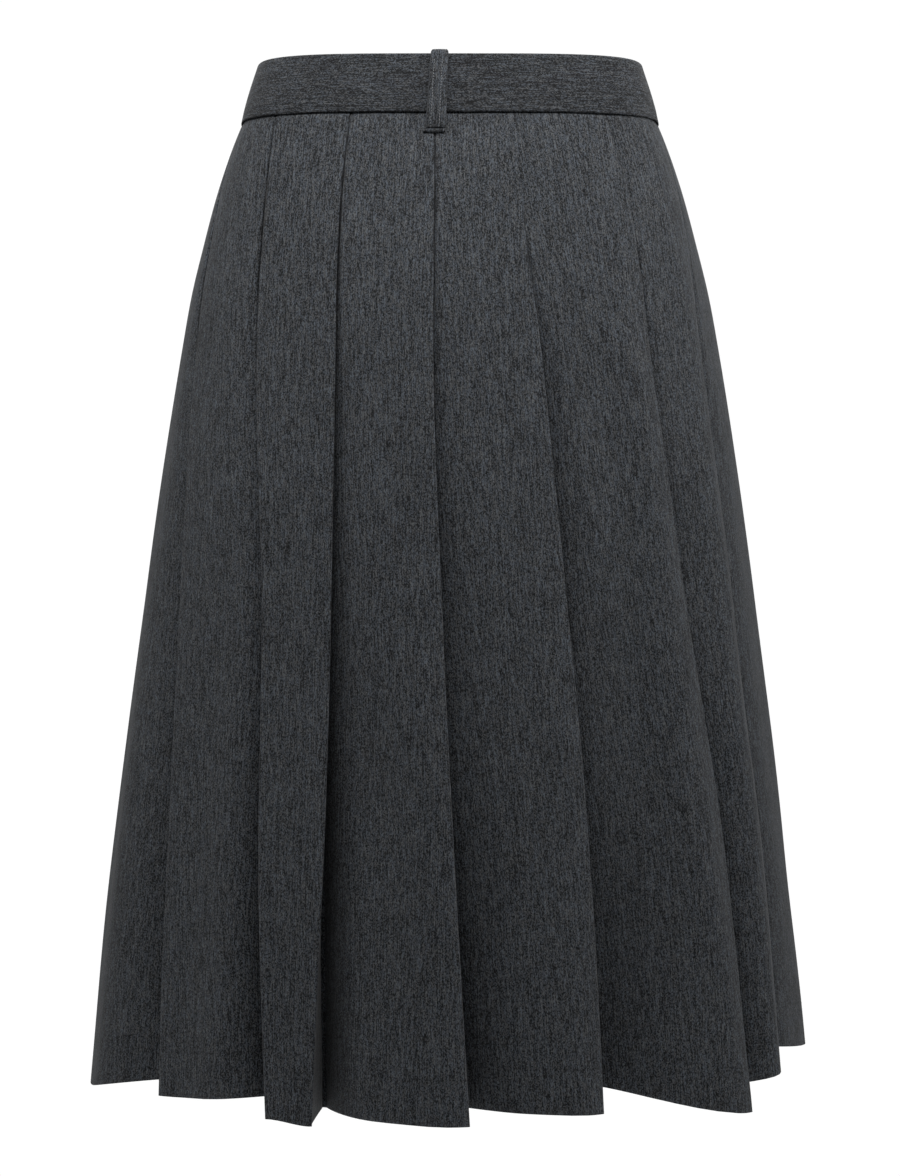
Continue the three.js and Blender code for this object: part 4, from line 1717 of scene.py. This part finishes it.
@dataclass
class Studio:
    """Pale paper floor, soft lights in white air, and the camera. Its sizes are in metres.

    Args:
        lamps: the lights
        floor: height of the floor
        distance: from the camera to the middle of the skirt
        camera_height: height of the camera
        view_height: height of the picture at the middle of the skirt
        sensor: width of the camera's sensor in millimetres
        air_seen: how bright the air beyond the paper looks
        air_light: how much light it gives
        paper_glow: light that the paper gives of itself
        paper_reach: half the width of the paper
        paper_melts: distances from the origin between which it fades into the air
    """

    lamps: tuple[Lamp, ...] = LAMPS
    floor: float = -1.03
    distance: float = 2.43
    camera_height: float = -0.3103
    view_height: float = 0.7997
    sensor: float = 36.0
    air_seen: float = 1.02
    air_light: float = 0.08
    paper_glow: float = 0.2
    paper_reach: float = 2.2
    paper_melts: tuple[float, float] = (1.2, 1.95)

    def paper(self) -> None:
        """Lay the floor."""
        signs = ((-1, -1), (1, -1), (1, 1), (-1, 1))
        corners = np.array([(x * self.paper_reach, y * self.paper_reach, self.floor) for x, y in signs])
        paper = mesh_object("paper_floor", corners / MM, [[0, 1, 2, 3]])
        paper.data.materials.append(StudioPaper("pale_paper", self.paper_glow, self.paper_melts).build())

    def air(self) -> None:
        """Fill the studio with white air, brighter to look at than it lights."""
        world = bpy.data.worlds.new("studio_air")
        world.use_nodes = True
        kit = NodeKit(world.node_tree)
        seen = kit.node("ShaderNodeLightPath", {}, {}, "Is Camera Ray")
        strength = seen * (self.air_seen - self.air_light) + self.air_light
        air = kit.tree.nodes["Background"]
        air.inputs["Color"].default_value = (1.0, 1.0, 1.0, 1.0)
        kit.tree.links.new(strength.node.outputs[0], air.inputs["Strength"])
        bpy.context.scene.world = world

    def camera(self) -> None:
        """Set the camera level, at the height and distance of the picture."""
        data = bpy.data.cameras.new("camera")
        data.sensor_width = self.sensor
        data.lens = self.sensor * self.distance / self.view_height
        camera = bpy.data.objects.new("camera", data)
        camera.location = (0.0, -self.distance, self.camera_height)
        camera.rotation_euler = (math.pi / 2, 0.0, 0.0)
        bpy.context.scene.collection.objects.link(camera)
        bpy.context.scene.camera = camera

    def build(self) -> None:
        """Set up the whole studio."""
        self.paper()
        self.air()
        for lamp in self.lamps:
            lamp.build()
        self.camera()
        bpy.context.scene.view_settings.view_transform = "Standard"


LOOP_PLACES = {
    "belt_loop_back": -0.0205,
    "belt_loop_front_left": -0.735,
    "belt_loop_front_right": 0.735,
}


def main() -> None:
    """Build the skirt piece by piece, then the studio."""
    logging.basicConfig(level=logging.INFO, format="%(name)s %(message)s")
    form, soft = FilledForm(), SoftForms()
    skirt_cloth, band_cloth, loop_cloth = SKIRT_TWILL.build(), BAND_TWILL.build(), LOOP_TWILL.build()
    top_thread, hem_thread = TOP_THREAD.build(), HEM_THREAD.build()
    Waistband(form).build(band_cloth)
    for name, node, first, last in (
        ("pleated_back", "skirt_back", "side_left", "side_right"),
        ("pleated_front", "skirt_front", "side_right", "side_left"),
    ):
        PleatedCloth(name, node, first, last, form, soft).build(skirt_cloth, hem_thread)
    for node, place in LOOP_PLACES.items():
        BeltLoop(form, node, place).build(loop_cloth, top_thread)
    Studio().build()


if __name__ == "__main__":
    main()
